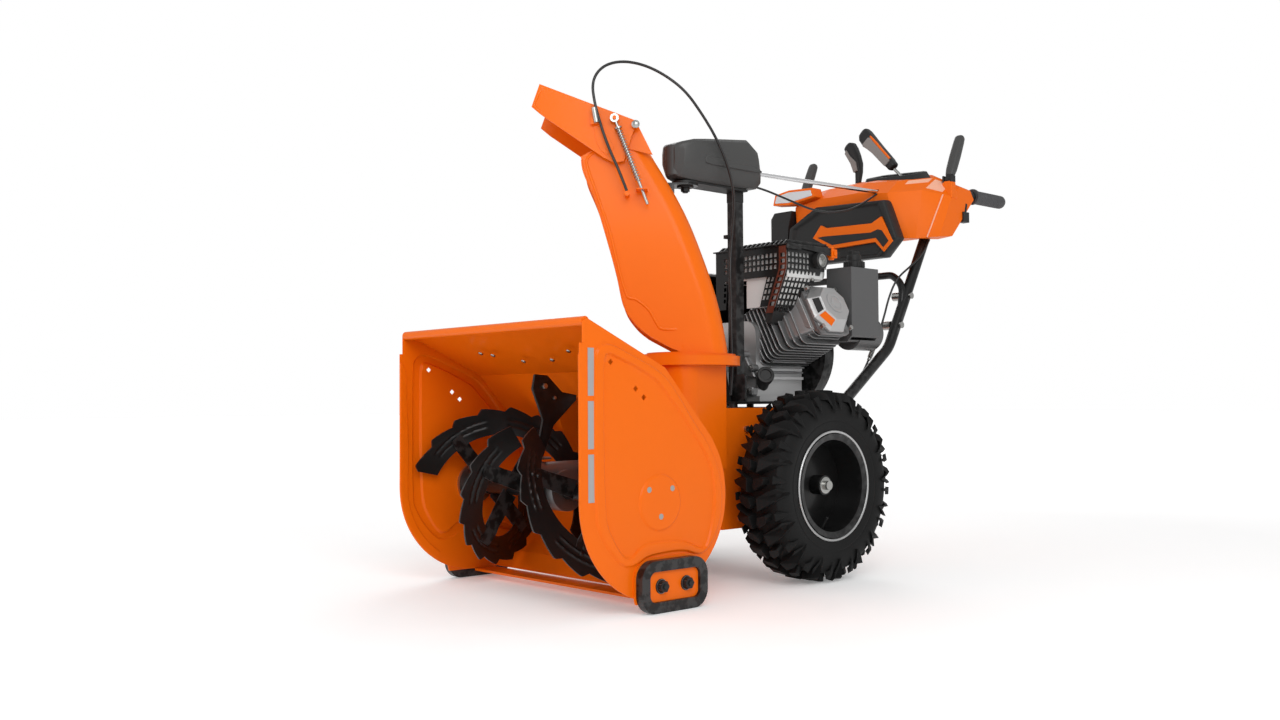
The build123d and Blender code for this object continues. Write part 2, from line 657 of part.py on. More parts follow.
def axle():
    """Left half axle, from the gear case to the end of the hub."""
    return bar((6, 0, TYRE_R), (AXLE_END_X, 0, TYRE_R), AXLE_R)


def rim():
    """Left wheel's pressed rim with its hub tube."""
    profile = [(TYRE_IN_X + 8, BEAD_R - CLEAR), (TYRE_IN_X + 8, BEAD_R + 9), (TYRE_IN_X + 4, BEAD_R + 9),
               (TYRE_IN_X + 4, BEAD_R - 4), (RIM_DISC_X - 4, BEAD_R - 6),
               (RIM_DISC_X, 62), (RIM_DISC_X + 8, HUB_R), (TYRE_IN_X + 2, HUB_R),
               (TYRE_IN_X + 2, AXLE_R + RUNNING_FIT), (AXLE_END_X - 12, AXLE_R + RUNNING_FIT),
               (AXLE_END_X - 12, HUB_R), (RIM_DISC_X + 12, HUB_R), (RIM_DISC_X + 4, 62), (RIM_DISC_X,
                                                                                          BEAD_R - 6),
               (TYRE_OUT_X - 8, BEAD_R - 4), (TYRE_OUT_X - 4, BEAD_R + 9), (TYRE_OUT_X - 8, BEAD_R + 9),
               (TYRE_OUT_X - 10, BEAD_R - CLEAR)]
    face = make_face(Polyline(*[(x, 0, r) for x, r in profile], close=True))
    return Pos(0, 0, TYRE_R) * revolve(face, axis=Axis.X)


def tyre():
    """Left tyre: round carcass with paired, slanted block lugs that reach over the shoulders."""
    low = TYRE_IN_X
    high = TYRE_OUT_X
    mid = (low + high) / 2
    gap = CLEAR
    outline = [(low + 8 + gap, BEAD_R), (low + 8 + gap, BEAD_R + 14), (low + 2, BEAD_R + 38),
               (low + 4, TYRE_CARCASS_R - 20),
               (low + 18, TYRE_CARCASS_R - 4), (mid, TYRE_CARCASS_R), (high - 18, TYRE_CARCASS_R - 4),
               (high - 4, TYRE_CARCASS_R - 20), (high - 2, BEAD_R + 38), (high - 8 - gap, BEAD_R + 14),
               (high - 10 - gap, BEAD_R)]
    face = make_face(Polyline(*[(x, 0, r) for x, r in outline], close=True))
    carcass = revolve(face, axis=Axis.X)
    lugs = []
    for i in range(LUGS):
        for side in (-1, 1):
            turn = (i + 0.25 * (1 + side)) * 360 / LUGS
            half = (high - low) / 2
            block_z = (TYRE_CARCASS_R - 26, TYRE_R)
            body = block((2, half), (-LUG_T / 2, LUG_T / 2), block_z)
            slanted = Rot(0, 0, -LUG_TILT) * body
            lug = slanted if side > 0 else mirror(slanted, about=Plane.YZ)
            lugs.append(Pos(mid, 0, 0) * Rot(turn, 0, 0) * lug)
    solid = carcass.fuse(*lugs)
    hoop = ring((low, 0, 0), (high, 0, 0), TYRE_R, BEAD_R)
    return Pos(0, 0, TYRE_R) * (solid & hoop)


# ---- chute and deflector ----------------------------------------------------------------
def chute_outline(inset):
    """Side outline of the chute; the inset one leaves the back wall and is open at the front."""
    back = [(s + inset, z - (20 if inset and z == CHUTE_BACK[0][1] else 0)) for s, z in CHUTE_BACK]
    front = [(s + 60 * bool(inset), z) for s, z in CHUTE_FRONT]
    back_curve = Spline(*[(0, -s, z) for s, z in back])
    rest = Polyline(*[(0, -s, z) for s, z in [back[-1]] + front + [back[0]]])
    return make_face(Wire([back_curve, *rest.edges()]))


def chute():
    """Tall trough, open towards the front, on a flange that turns on the ring."""
    outer = extrude(Pos(-CHUTE_HALF_W, 0, 0) * chute_outline(0), amount=2 * CHUTE_HALF_W, dir=(1, 0, 0))
    inner_half = CHUTE_HALF_W - CHUTE_WALL
    outer = fillet(long_back_edges(outer), CHUTE_CORNER_R)
    inner = extrude(Pos(-inner_half, 0, 0) * chute_outline(CHUTE_WALL), amount=2 * inner_half, dir=(1, 0, 0))
    inner = fillet(long_back_edges(inner), CHUTE_CORNER_R - CHUTE_WALL)
    trough = outer - inner
    base_z = RING_Z + RING_H + CLEAR
    collar = ring((0, 0, base_z), (0, 0, base_z + 22), CHUTE_HALF_W + 1, CHUTE_HALF_W + 1 - CHUTE_WALL)
    collar -= block((-200, 200), (-200, -20), (base_z + 8, base_z + 40))
    flange = ring((0, 0, base_z), (0, 0, base_z + 4), CHUTE_FLANGE_R, CHUTE_HALF_W + 1 - CHUTE_WALL)
    skirt = ring((0, 0, base_z - 12), (0, 0, base_z), CHUTE_HALF_W + 1, CHUTE_HALF_W + 1 - CHUTE_WALL)
    inside = bar((0, 0, base_z - 13), (0, 0, base_z + 10), CHUTE_HALF_W + 1 - CHUTE_WALL)
    body = trough - inside + collar + flange + skirt
    for side in (-1, 1):
        x_in = side * (CHUTE_HALF_W - CHUTE_WALL)
        x_ear = side * (CHUTE_HALF_W + CHUTE_WALL)
        x_pin = side * (DEFLECTOR_HALF_W + 4)
        ear = side_slab([(-70, 905), (-150, 925), (-HINGE_S - 6, HINGE_Z), (-HINGE_S + 6, HINGE_Z)],
                        sorted((side * CHUTE_HALF_W, x_ear)))
        ear += bar((side * CHUTE_HALF_W, -HINGE_S, HINGE_Z), (x_ear, -HINGE_S, HINGE_Z), HINGE_PIN_R + 2)
        pin = bar((x_in, -HINGE_S, HINGE_Z), (x_pin, -HINGE_S, HINGE_Z), HINGE_PIN_R)
        cap = bar((x_pin, -HINGE_S, HINGE_Z), (x_pin + side * 3, -HINGE_S, HINGE_Z), HINGE_PIN_R + 3)
        body += ear + pin + cap
    guide_in = CHUTE_HALF_W
    guide = block((guide_in, SPRING_T + 13), (-GUIDE_S - 12, -GUIDE_S + 12), (GUIDE_Z - 2, GUIDE_Z))
    slot = block((SPRING_T - SPRING_ROD_R - 1.5, SPRING_T + SPRING_ROD_R + 1.5),
                 (-GUIDE_S - SPRING_ROD_R - 4, -GUIDE_S + SPRING_ROD_R + 4), (GUIDE_Z - 5, GUIDE_Z + 3))
    anchor = bar((guide_in, -ANCHOR_S, ANCHOR_Z), (CABLE_T + 4, -ANCHOR_S, ANCHOR_Z), 5)
    body += (guide - slot) + anchor
    return to_chute(body)


def long_back_edges(trough):
    """The two long curved edges along the back of a trough."""
    curved = trough.edges().filter_by(GeomType.BSPLINE)
    return curved.sort_by(SortBy.LENGTH)[-2:]


def chute_arm():
    """Orange arm from the chute's back to the pivot bolt under the gear head."""
    z = (ARM_PLATE_Z, ARM_PLATE_Z + ARM_PLATE_T)
    arm = block((-28, 28), (-40, 0), z) + ring((0, 0, z[0]), (0, 0, z[1]), 28, PIVOT_R + RUNNING_FIT)
    tab = block((-28, 28), (-33, -24), (ARM_PLATE_Z - 40, ARM_PLATE_Z))
    arm = arm + tab
    arm -= bar((0, 0, z[0] - 1), (0, 0, z[1] + 1), PIVOT_R + RUNNING_FIT)
    back = extrude(Pos(-CHUTE_HALF_W, 0, 0) * chute_outline(0), amount=2 * CHUTE_HALF_W, dir=(1, 0, 0))
    return to_chute((arm - back).solids().sort_by(SortBy.VOLUME)[-1])


def deflector():
    """Hood over the chute's top: a roof between two cheeks, hinged at its rear."""
    outer = chute_slab(DEFLECTOR_SIDE, DEFLECTOR_HALF_W)
    rear, front = Vector(0, -100, 973), Vector(0, -306, 1054)
    along = front - rear
    lift = Vector(0, along.Z, -along.Y).normalized() * -DEFLECTOR_WALL
    low = [(-p.Y, p.Z) for p in (rear + lift, front + lift)]
    hollow_shape = [(low[0][0] - 30, low[0][1] - 12), low[1], (360, 1010), (330, 930), (180, 860), (60, 860)]
    hollow = chute_slab(hollow_shape, DEFLECTOR_HALF_W - DEFLECTOR_WALL)
    hood = outer - hollow
    for side in (-1, 1):
        x = (side * (DEFLECTOR_HALF_W - 10), side * (DEFLECTOR_HALF_W + 10))
        hood -= bar((min(x), -HINGE_S, HINGE_Z), (max(x), -HINGE_S, HINGE_Z), HINGE_PIN_R + RUNNING_FIT)
    stud_end = SPRING_T + 9
    hood += bar((DEFLECTOR_HALF_W - 1, -STUD_S, STUD_Z), (stud_end, -STUD_S, STUD_Z), 4)
    conduit_lug = block((DEFLECTOR_HALF_W - 1, DEFLECTOR_HALF_W + 10), (-198, -182), (966, 982))
    hood += conduit_lug
    return to_chute(hood)


def rod_direction():
    return (Vector(0, -GUIDE_S, GUIDE_Z) - Vector(0, -STUD_S, STUD_Z)).normalized()


def spring_rod():
    """Rod with an eye on the deflector's stud; it slides through the chute's guide."""
    stud = Vector(SPRING_T, -STUD_S, STUD_Z)
    length = math.hypot(STUD_S - GUIDE_S, STUD_Z - GUIDE_Z) + 34
    eye = ring((SPRING_T - 4, stud.Y, stud.Z), (SPRING_T + 4, stud.Y, stud.Z), 9, 4 + RUNNING_FIT)
    washer_at = stud + rod_direction() * (SPRING_TOP - 3)
    washer = bar(tuple(washer_at), tuple(stud + rod_direction() * SPRING_TOP), SPRING_R + 1.5)
    upper = bar(tuple(stud + rod_direction() * 6.5), tuple(washer_at), SPRING_ROD_R)
    lower = bar(tuple(stud + rod_direction() * SPRING_TOP), tuple(stud + rod_direction() * length),
                SPRING_ROD_R)
    return to_chute((upper + washer + lower) + eye)


def deflector_spring():
    """Outer shape of the compression spring round the rod."""
    stud = Vector(SPRING_T, -STUD_S, STUD_Z)
    top = stud + rod_direction() * (SPRING_TOP + CLEAR)
    foot = stud + rod_direction() * (SPRING_TOP + SPRING_LENGTH)
    return to_chute(ring(top, foot, SPRING_R, SPRING_ROD_R + CLEAR))


# ---- gear head and post -----------------------------------------------------------------
def chute_post():
    """Square post from the deck up to the gear head, with its foot plate."""
    half = POST_SIDE / 2
    foot_z = deck_top_z()
    post = block((RING_X - half, RING_X + half), (POST_Y - half, POST_Y + half), (foot_z, head_case_z()[0]))
    foot = block((RING_X - half, RING_X + half + 24), (POST_Y - half, POST_Y - half + 5),
                 (foot_z, foot_z + 60))
    clip = block((RING_X - half - 1, RING_X - half + 9), (POST_Y - half - 12, POST_Y - half), (752, 760))
    return post + foot + clip


def head_case_z():
    low = ARM_PLATE_Z + ARM_PLATE_T + CLEAR
    return (low, low + HEAD_CASE_T)


def head_section(z, radius, rear):
    """Plan outline of the gear head's cover: a faceted nose about the turning axis."""
    turns = [math.radians(degrees) for degrees in (-90, -55, -20, 20, 55, 90)]
    nose = [(radius * math.sin(turn), -radius * math.cos(turn)) for turn in turns]
    points = [(RING_X + x, RING_Y + y) for x, y in nose]
    points += [(RING_X + radius, rear - 26), (RING_X + radius * 0.55, rear), (RING_X - radius * 0.55, rear),
               (RING_X - radius, rear - 26)]
    return make_face(Polyline(*[(x, y, z) for x, y in points], close=True))


def head_solid(shrink):
    """The cover's outer body, or a smaller copy of it."""
    sections = [
        (HEAD_BOTTOM_Z, HEAD_LOW_R, HEAD_REAR_Y - 24),
        (HEAD_WIDE_Z, HEAD_R, HEAD_REAR_Y),
        (HEAD_HIGH_Z, HEAD_R, HEAD_REAR_Y - 4),
        (HEAD_TOP_Z, HEAD_TOP_R, HEAD_REAR_Y - 34),
    ]
    parts = []
    for low, high in zip(sections, sections[1:]):
        bottom = head_section(low[0] - (1 if shrink else 0), low[1] - shrink, low[2] - shrink)
        top = head_section(high[0] - (shrink if high[0] == HEAD_TOP_Z else 0), high[1] - shrink,
                           high[2] - shrink)
        parts.append(loft([bottom, top], ruled=True))
    return parts[0] + parts[1] + parts[2]


def gear_head_cover():
    """Dark plastic shell over the chute's turning gears."""
    shell = head_solid(0) - head_solid(3)
    start = Vector(*ROD_START)
    ahead = start - rod_axis() * 30
    behind = start + rod_axis() * 20
    return shell - bar(ahead, behind, ROD_R + 1.0)


def gear_head_case():
    """Base plate, turning-gear housing and the pivot bolt that the chute's arm hangs on."""
    z = head_case_z()
    base = block((RING_X - 26, RING_X + 26), (RING_Y, HEAD_REAR_Y - 42), z)
    base += bar((RING_X, RING_Y, z[0]), (RING_X, RING_Y, z[1]), 29)
    tower = block((RING_X - 24, RING_X + 24), (RING_Y - 10, POST_Y + 10), (z[1], z[1] + 78))
    pivot = bar((RING_X, RING_Y, ARM_PLATE_Z - 14), (RING_X, RING_Y, z[0]), PIVOT_R)
    washer = bar((RING_X, RING_Y, ARM_PLATE_Z - CLEAR - 3), (RING_X, RING_Y, ARM_PLATE_Z - CLEAR), 18)
    hexagon = Pos(RING_X, RING_Y, ARM_PLATE_Z - CLEAR - 11) * RegularPolygon(10, 6)
    nut = extrude(hexagon, amount=8, dir=(0, 0, 1))
    case = base + tower + pivot + washer + nut
    start = Vector(*ROD_START)
    hole = bar((start - rod_axis() * 100), (start + rod_axis() * 10), ROD_R + RUNNING_FIT)
    return case - hole


# ---- engine -----------------------------------------------------------------------------
def cylinder_frame():
    """Plane at the crank axis with its Z along the cylinder."""
    angle = math.radians(CYLINDER_DEG)
    return Plane(origin=(CRANK_X, CYLINDER_Y, CRANK_Z), x_dir=(0, 1, 0),
                 z_dir=(math.cos(angle), 0, math.sin(angle)))


def engine_block():
    """Cast crankcase on its flanged sump, with the oil filler neck and cap."""
    base = block((-98, 112), (CASE_FRONT_Y, CASE_REAR_Y - 10), (deck_top_z(), deck_top_z() + 12))
    case = block((-90, 92), (CASE_FRONT_Y + 10, CASE_REAR_Y - 30), (deck_top_z() + 10, CRANK_Z + 70))
    case = fillet(case.edges().filter_by(Axis.Y).sort_by(Axis.Z)[-2:], 30)
    nose = bar((CRANK_X, CASE_FRONT_Y - 6, CRANK_Z), (CRANK_X, CASE_REAR_Y, CRANK_Z), 46)
    rib_a = block((88, 106), (CASE_FRONT_Y + 30, CASE_REAR_Y - 40), (436, 442))
    rib_b = block((88, 102), (CASE_FRONT_Y + 30, CASE_REAR_Y - 40), (456, 462))
    neck = bar((82, 30, 428), (112, 8, 440), 14)
    cap = bar((112, 8, 440), (124, -1, 445), 17)
    solid = base + case + nose + rib_a + rib_b + neck
    solid -= bar((CRANK_X, CASE_FRONT_Y - 20, CRANK_Z), (CRANK_X, CASE_REAR_Y + 20, CRANK_Z),
                 CRANK_R + RUNNING_FIT)
    solid -= cylinder_frame() * Pos(0, 0, 150) * Box(BORE_BLOCK + 1, BORE_BLOCK + 1, 130)
    return solid + cap


def engine_cylinder():
    """Cylinder barrel and head with square cooling fins."""
    start = 86.0
    body = Pos(0, 0, start) * Box(80, 84, 104, align=(Align.CENTER, Align.CENTER, Align.MIN))
    for i in range(FINS):
        fin = Pos(0, 0, start + 8 + i * 10.5) * Box(BORE_BLOCK, BORE_BLOCK, 3.2)
        body += fin
    head = Pos(0, 0, start + 100) * Box(104, 100, 24, align=(Align.CENTER, Align.CENTER, Align.MIN))
    return cylinder_frame() * (body + head)


def rocker_cover():
    """Eight-sided silver valve cover on the cylinder head."""
    low = 86.0 + 124.0
    outline = RegularPolygon(ROCKER_FLATS / 2, 8, major_radius=False, rotation=22.5)
    body = extrude(Pos(0, 0, low) * outline, amount=ROCKER_FACE - low, dir=(0, 0, 1))
    body = chamfer(body.faces().sort_by(Axis.Z)[-1].edges(), 5)
    return cylinder_frame() * body


def muffler_guard():
    """Folded, slotted heat guard: front, left side cut away round the valve cover, and top."""
    x = GUARD_X
    y = GUARD_Y
    top = block(x, y, (GUARD_TOP_Z - GUARD_T, GUARD_TOP_Z))
    front = block(x, (y[0], y[0] + GUARD_T), (556, GUARD_TOP_Z))
    side_shape = [(y[0], 556), (62, 556), (66, 626), (100, 668), (y[1], 668), (y[1], GUARD_TOP_Z),
                  (y[0], GUARD_TOP_Z)]
    side = side_slab(side_shape, (x[1] - GUARD_T, x[1]))
    holes = [bar((x[1] - 9, OUTLET_Y, OUTLET_Z), (x[1] + 9, OUTLET_Y, OUTLET_Z), 17.5)]
    for row in range(9):
        for col in range(6):
            z = 722 - row * 17
            slot_y = 14 + col * 13
            if z < 580 or (slot_y > 58 and z < 690) or slot_y > 80:
                continue
            holes.append(block((x[1] - 9, x[1] + 9), (slot_y - 4, slot_y + 4), (z - 4.5, z + 4.5)))
    for col in range(9):
        for row in range(5):
            slot_x = x[1] - 20 - col * 20
            z = 716 - row * 22
            holes.append(block((slot_x - 7, slot_x + 7), (y[0] - 5, y[0] + 5), (z - 5, z + 5)))
    return (top + front + side).cut(*holes)


def muffler():
    """Silencer box inside the guard with its outlet pipe, stayed to the guard by four posts."""
    body = block((GUARD_X[0] + MUFFLER_GAP, GUARD_X[1] - MUFFLER_GAP), MUFFLER_Y, MUFFLER_Z)
    body = fillet(body.edges().filter_by(Axis.Y), MUFFLER_CORNER_R)
    hollow = block((GUARD_X[0] + MUFFLER_GAP + GUARD_T, GUARD_X[1] - MUFFLER_GAP - GUARD_T),
                   (MUFFLER_Y[0] + GUARD_T, MUFFLER_Y[1] - GUARD_T), (MUFFLER_Z[0] + GUARD_T,
                                                                      MUFFLER_Z[1] - GUARD_T))
    body -= fillet(hollow.edges().filter_by(Axis.Y), MUFFLER_CORNER_R - GUARD_T)
    body -= bar((GUARD_X[1] - 30, OUTLET_Y, OUTLET_Z), (GUARD_X[1], OUTLET_Y, OUTLET_Z), 13)
    pipe = ring((GUARD_X[1] - 16, OUTLET_Y, OUTLET_Z), (GUARD_X[1] + 14, OUTLET_Y, OUTLET_Z), 16, 13)
    for x in (GUARD_X[0] + 30, GUARD_X[1] - 30):
        for y in (30, 120):
            body += bar((x, y, MUFFLER_Z[1] - 7), (x, y, GUARD_TOP_Z - GUARD_T), 5)
    elbow = bar((60, 118, 600), (60, 118, MUFFLER_Z[0] + 4), 14)
    return body + pipe + elbow


def tank_x():
    return (CRANK_X + SHROUD_R + CLEAR, TANK_RIGHT_X)


def fuel_tank():
    """Narrow black tank beside the engine, with a threaded neck for the cap."""
    x_low, x_high = tank_x()
    outer = block((x_low, x_high), TANK_Y, TANK_Z)
    outer = chamfer(outer.edges().filter_by(Axis.Y).sort_by(Axis.Z)[:2], 14)
    inner = block((x_low + TANK_WALL, x_high - TANK_WALL), (TANK_Y[0] + TANK_WALL, TANK_Y[1] - TANK_WALL),
                  (TANK_Z[0] + TANK_WALL, TANK_Z[1] - TANK_WALL))
    x, y = cap_centre()
    neck = bar((x, y, TANK_Z[1] - TANK_WALL), (x, y, TANK_Z[1] + 16), 15)
    bore = bar((x, y, TANK_Z[1] - 20), (x, y, TANK_Z[1] + 17), 12)
    lower = bar((x_high - 44, TANK_Y[0] + 42, TANK_Z[0] + 22),
                (x_high - 44, TANK_Y[1] + 24, TANK_Z[0] + 22), 40)
    return (outer + lower) - inner + neck - bore


def cap_centre():
    return (TANK_RIGHT_X - 30, TANK_Y[0] + 50)


def fuel_cap():
    """Ribbed screw cap over the tank's neck."""
    x, y = cap_centre()
    low = TANK_Z[1] + CLEAR
    cap = bar((x, y, low), (x, y, low + 34), CAP_R) - bar((x, y, low - 1), (x, y, low + 18), 15 + CLEAR)
    return cap + block((x - 6, x + 6), (y - 16, y + 16), (low + 30, low + 46))


def engine_shroud():
    """Black blower housing behind the engine and the carburettor's heat box on its right."""
    rear = CASE_REAR_Y
    drum = bar((CRANK_X, rear, CRANK_Z), (CRANK_X, rear + SHROUD_DEPTH, CRANK_Z), SHROUD_R)
    drum -= bar((CRANK_X, rear + 3, CRANK_Z), (CRANK_X, rear + SHROUD_DEPTH - 3, CRANK_Z), SHROUD_R - 4)
    drum -= bar((CRANK_X, rear - 1, CRANK_Z), (CRANK_X, rear + 4, CRANK_Z), CRANK_R + 8)
    drum -= block((-300, 300), (0, 400), (0, deck_top_z() + CLEAR))
    drum += block((CRANK_X + SHROUD_R - 30, tank_x()[0]), (rear + 12, rear + 26),
                  (TANK_Z[0] + 12, TANK_Z[0] + 30))
    box = block((-176, -90 - CLEAR), (24, 186), (520, 700))
    box = fillet(box.edges().filter_by(Axis.Y).sort_by(Axis.Z)[-2:], 24)
    box -= block((-170, -80), (30, 180), (526, 690))
    return Compound([drum.solids().sort_by(SortBy.VOLUME)[-1], box])


def recoil_cover():
    """Round starter cover on the back of the blower housing, with a slot for the cord."""
    low = CASE_REAR_Y + SHROUD_DEPTH
    cover = bar((CRANK_X, low, CRANK_Z), (CRANK_X, low + 34, CRANK_Z), RECOIL_R)
    cover = fillet(cover.edges().sort_by(Axis.Y)[-1:], 12)
    cover -= bar((CRANK_X, low - 1, CRANK_Z), (CRANK_X, low + 30, CRANK_Z), RECOIL_R - 4)
    return cover - recoil_hole()


def recoil_y():
    return CASE_REAR_Y + SHROUD_DEPTH + 18


def recoil_point(out):
    """A point on the starter cord's line, so far outside the recoil cover's rim."""
    return (CRANK_X - RECOIL_R - out, recoil_y(), CRANK_Z + 43 + out * RECOIL_SLOPE)


def recoil_hole():
    return bar(recoil_point(-26), recoil_point(30), RECOIL_CORD_R + CLEAR)


def recoil_handle():
    """T handle on a short stretch of starter cord."""
    end = recoil_point(14)
    cord = bar(recoil_point(-20), end, RECOIL_CORD_R)
    grip = bar((end[0] - 8, end[1], end[2] - 34), (end[0] - 8, end[1], end[2] + 34), 9)
    return cord + grip


def crankshaft():
    """Crankshaft stub through the block, with the engine pulley keyed on its front end."""
    shaft = bar((CRANK_X, BELT_Y - BELT_W / 2 - 4, CRANK_Z), (CRANK_X, CASE_REAR_Y + 2, CRANK_Z), CRANK_R)
    return shaft


# ---- handlebars, dash and controls ------------------------------------------------------
def handle_route():
    """Centre line of the left handle tube, from the frame up through the dash to the grip."""
    return [(LOWER_X, 196, 384), (LOWER_X, 372, 514), (LOWER_X, 455, 660), (LOWER_X, 535, 802),
            (LOWER_X + 14, 585, 880), (UPPER_X, 640, GRIP_Z), (UPPER_X, GRIP_END_Y - 10, GRIP_Z)]


HANDLE_BENDS = [90, 500, 200, 60, 45]
HANDLE_BOLTS = [(404, 570), (446, 644)]
HANDLE_BOLT_R = 4.0


def handlebars():
    """Left and right handle tubes, bolted to the frame, with the cross tube between them."""
    left = tube(handle_route(), HANDLE_BENDS, TUBE_R)
    left += block((FRAME_HALF_W, LOWER_X), (FRAME_REAR_Y - 60, FRAME_REAR_Y - 4), (330, 366))
    left += side_slab([(FRAME_REAR_Y - 60, 330), (FRAME_REAR_Y - 4, 330), (FRAME_REAR_Y + 14, 392),
                       (FRAME_REAR_Y - 30, 400)], (LOWER_X - 5, LOWER_X + 1))
    cross = [(LOWER_X, 424, 606), (LOWER_X - 6, CROSS_Y - 8, CROSS_Z - 26), (LOWER_X - 46, CROSS_Y, CROSS_Z),
             (-1, CROSS_Y, CROSS_Z)]
    left += tube(cross, [60, 34], CROSS_R)
    left -= tube(handle_route(), HANDLE_BENDS, TUBE_R - TUBE_WALL)
    for y, z in HANDLE_BOLTS:
        left -= bar((LOWER_X - 20, y, z), (LOWER_X + 20, y, z), HANDLE_BOLT_R + RUNNING_FIT)
    left -= block((-30, 0), (CROSS_Y - 20, CROSS_Y + 20), (CROSS_Z - 20, CROSS_Z + 20))
    return left + mirror(left, about=Plane.YZ)


def handle_grips():
    """Ribbed rubber grips pushed over the tubes' ends."""
    grip = bar((UPPER_X, GRIP_START_Y, GRIP_Z), (UPPER_X, GRIP_END_Y, GRIP_Z), GRIP_R)
    grip -= bar((UPPER_X, GRIP_START_Y - 1, GRIP_Z), (UPPER_X, GRIP_END_Y - 9, GRIP_Z), TUBE_R + CLEAR)
    return both_sides(grip)


def handle_hardware():
    """Bolts with wing knobs that fix the handle tubes, two for each side."""
    pieces = []
    reach = TUBE_R + CLEAR
    for y, z in HANDLE_BOLTS:
        bolt = bar((LOWER_X - reach, y, z), (LOWER_X + reach, y, z), HANDLE_BOLT_R)
        knob = bar((LOWER_X - reach - 22, y, z), (LOWER_X - reach, y, z), 11)
        head = bar((LOWER_X + reach, y, z), (LOWER_X + reach + 5, y, z), 8)
        pieces.append(bolt + knob + head)
    return pieces


DASH_SECTIONS = [
    (60.0, [(446, 792), (424, 915), (462, 946), (612, 984), (640, 930), (566, 800)]),
    (150.0, [(446, 792), (432, 905), (476, 940), (626, 974), (664, 918), (566, 800)]),
    (206.0, [(470, 788), (498, 912), (560, 952), (640, 944), (664, 902), (566, 794)]),
    (254.0, [(500, 790), (556, 896), (596, 924), (640, 920), (656, 898), (556, 796)]),
]


def dash_section(x, points, shrink):
    centre_y = sum(y for y, z in points) / len(points)
    centre_z = sum(z for y, z in points) / len(points)
    moved = []
    for y, z in points:
        dy = y - centre_y
        dz = z - centre_z
        length = math.hypot(dy, dz)
        moved.append((centre_y + dy * (1 - shrink / length), centre_z + dz * (1 - shrink / length)))
    return make_face(Polyline(*[(x, y, z) for y, z in moved], close=True))


def dash_solid(shrink):
    """Faceted control-panel body from section to section across the machine."""
    left = DASH_SECTIONS
    solid = None
    for (x_a, a), (x_b, b) in zip(left, left[1:]):
        end = x_b - (shrink if x_b == left[-1][0] else 0)
        piece = loft([dash_section(x_a, a, shrink), dash_section(end, b, shrink)], ruled=True)
        solid = piece if solid is None else solid + piece
    x_mid, mid = left[0]
    middle = loft([dash_section(-x_mid, mid, shrink), dash_section(x_mid, mid, shrink)], ruled=True)
    return solid + middle + mirror(solid, about=Plane.YZ)


def dash_body(outer):
    """Orange shell of the control panel, with slots for the levers and holes for the tubes."""
    shell = outer - dash_solid(5)
    passage = tube(handle_route(), HANDLE_BENDS, TUBE_R + CLEAR)
    shell = shell - passage - mirror(passage, about=Plane.YZ)
    shell -= block(joy_slot_x(), (JOY_PIVOT[1] - 34, JOY_PIVOT[1] + 34), (930, 1010))
    shell -= block((SPEED_X - 12, SPEED_X + 12), (SPEED_PIVOT_Y - 70, SPEED_PIVOT_Y + 44), (936, 1010))
    for side in (-1, 1):
        shell -= lever_bracket(side * UPPER_X, CLEAR)
    rod_entry = Vector(*ROD_START) + rod_axis() * 400
    shell -= bar(rod_entry, (Vector(*ROD_START) + rod_axis() * 520), ROD_R + 2)
    return shell.solids().sort_by(SortBy.VOLUME)[-1]


def joy_slot_x():
    return (JOY_PIVOT[0] - 94.0, JOY_PIVOT[0] + 50.0)


def dash_panels(outer):
    """Black pod below the panel, the slot frame on top, and the headlight's surround."""
    pod_shape = [(-160, 770), (-70, 742), (128, 748), (160, 800), (136, 884), (-60, 892), (-150, 846)]
    pod = front_slab(pod_shape, POD_Y)
    pod_hollow = [(-146, 776), (-66, 754), (120, 760), (148, 802), (126, 872), (-56, 880), (-138, 840)]
    pod -= front_slab(pod_hollow, (POD_Y[0] + POD_WALL, POD_Y[1] + 1))
    right_panel = front_slab([(-226, 800), (-165, 800), (-165, 850), (-152, 896), (-214, 896),
                              (-226, 880)], (420, 470))
    return [pod - outer, right_panel - outer]


def rod_axis():
    return (Vector(*JOY_PIVOT) - Vector(*ROD_START)).normalized()


def chute_control_rod():
    """Polished rod from the gear head back to the lever's yoke in the panel."""
    start = Vector(*ROD_START) - rod_axis() * 60
    end = Vector(*JOY_PIVOT) + rod_axis() * 14
    rod = bar(start, (Vector(*JOY_PIVOT) - rod_axis() * 22), ROD_R)
    yoke = Pos(*JOY_PIVOT) * (block((-13, 13), (-24, -12), (-9, 9)) + block((-13, -8), (-24, 12), (-9, 4))
                              + block((8, 13), (-24, 12), (-9, 9)))
    yoke = yoke - bar((JOY_PIVOT[0] - 20, JOY_PIVOT[1], JOY_PIVOT[2]),
                      (JOY_PIVOT[0] + 20, JOY_PIVOT[1], JOY_PIVOT[2]),
                      4 + RUNNING_FIT)
    return rod + yoke


def joystick():
    """Chute lever: a pin in the rod's yoke, a bent stem and a faceted grip."""
    lean = Rot(0, -JOY_LEAN_DEG, 0)
    stem = bar((0, 0, -4), (0, 0, JOY_LENGTH - 120), 4)
    eye = bar((-8 + CLEAR, 0, 0), (8 - CLEAR, 0, 0), 8)
    grip = block((-14, 14), (-15, 15), (JOY_LENGTH - 128, JOY_LENGTH))
    grip = chamfer(grip.edges().filter_by(Axis.Z), 6)
    pin = bar((-18, 0, 0), (18, 0, 0), 4)
    flat = lean * (stem - block((-40, 40), (-40, 40), (-40, 0)) + grip)
    return Pos(*JOY_PIVOT) * (flat + eye + pin)


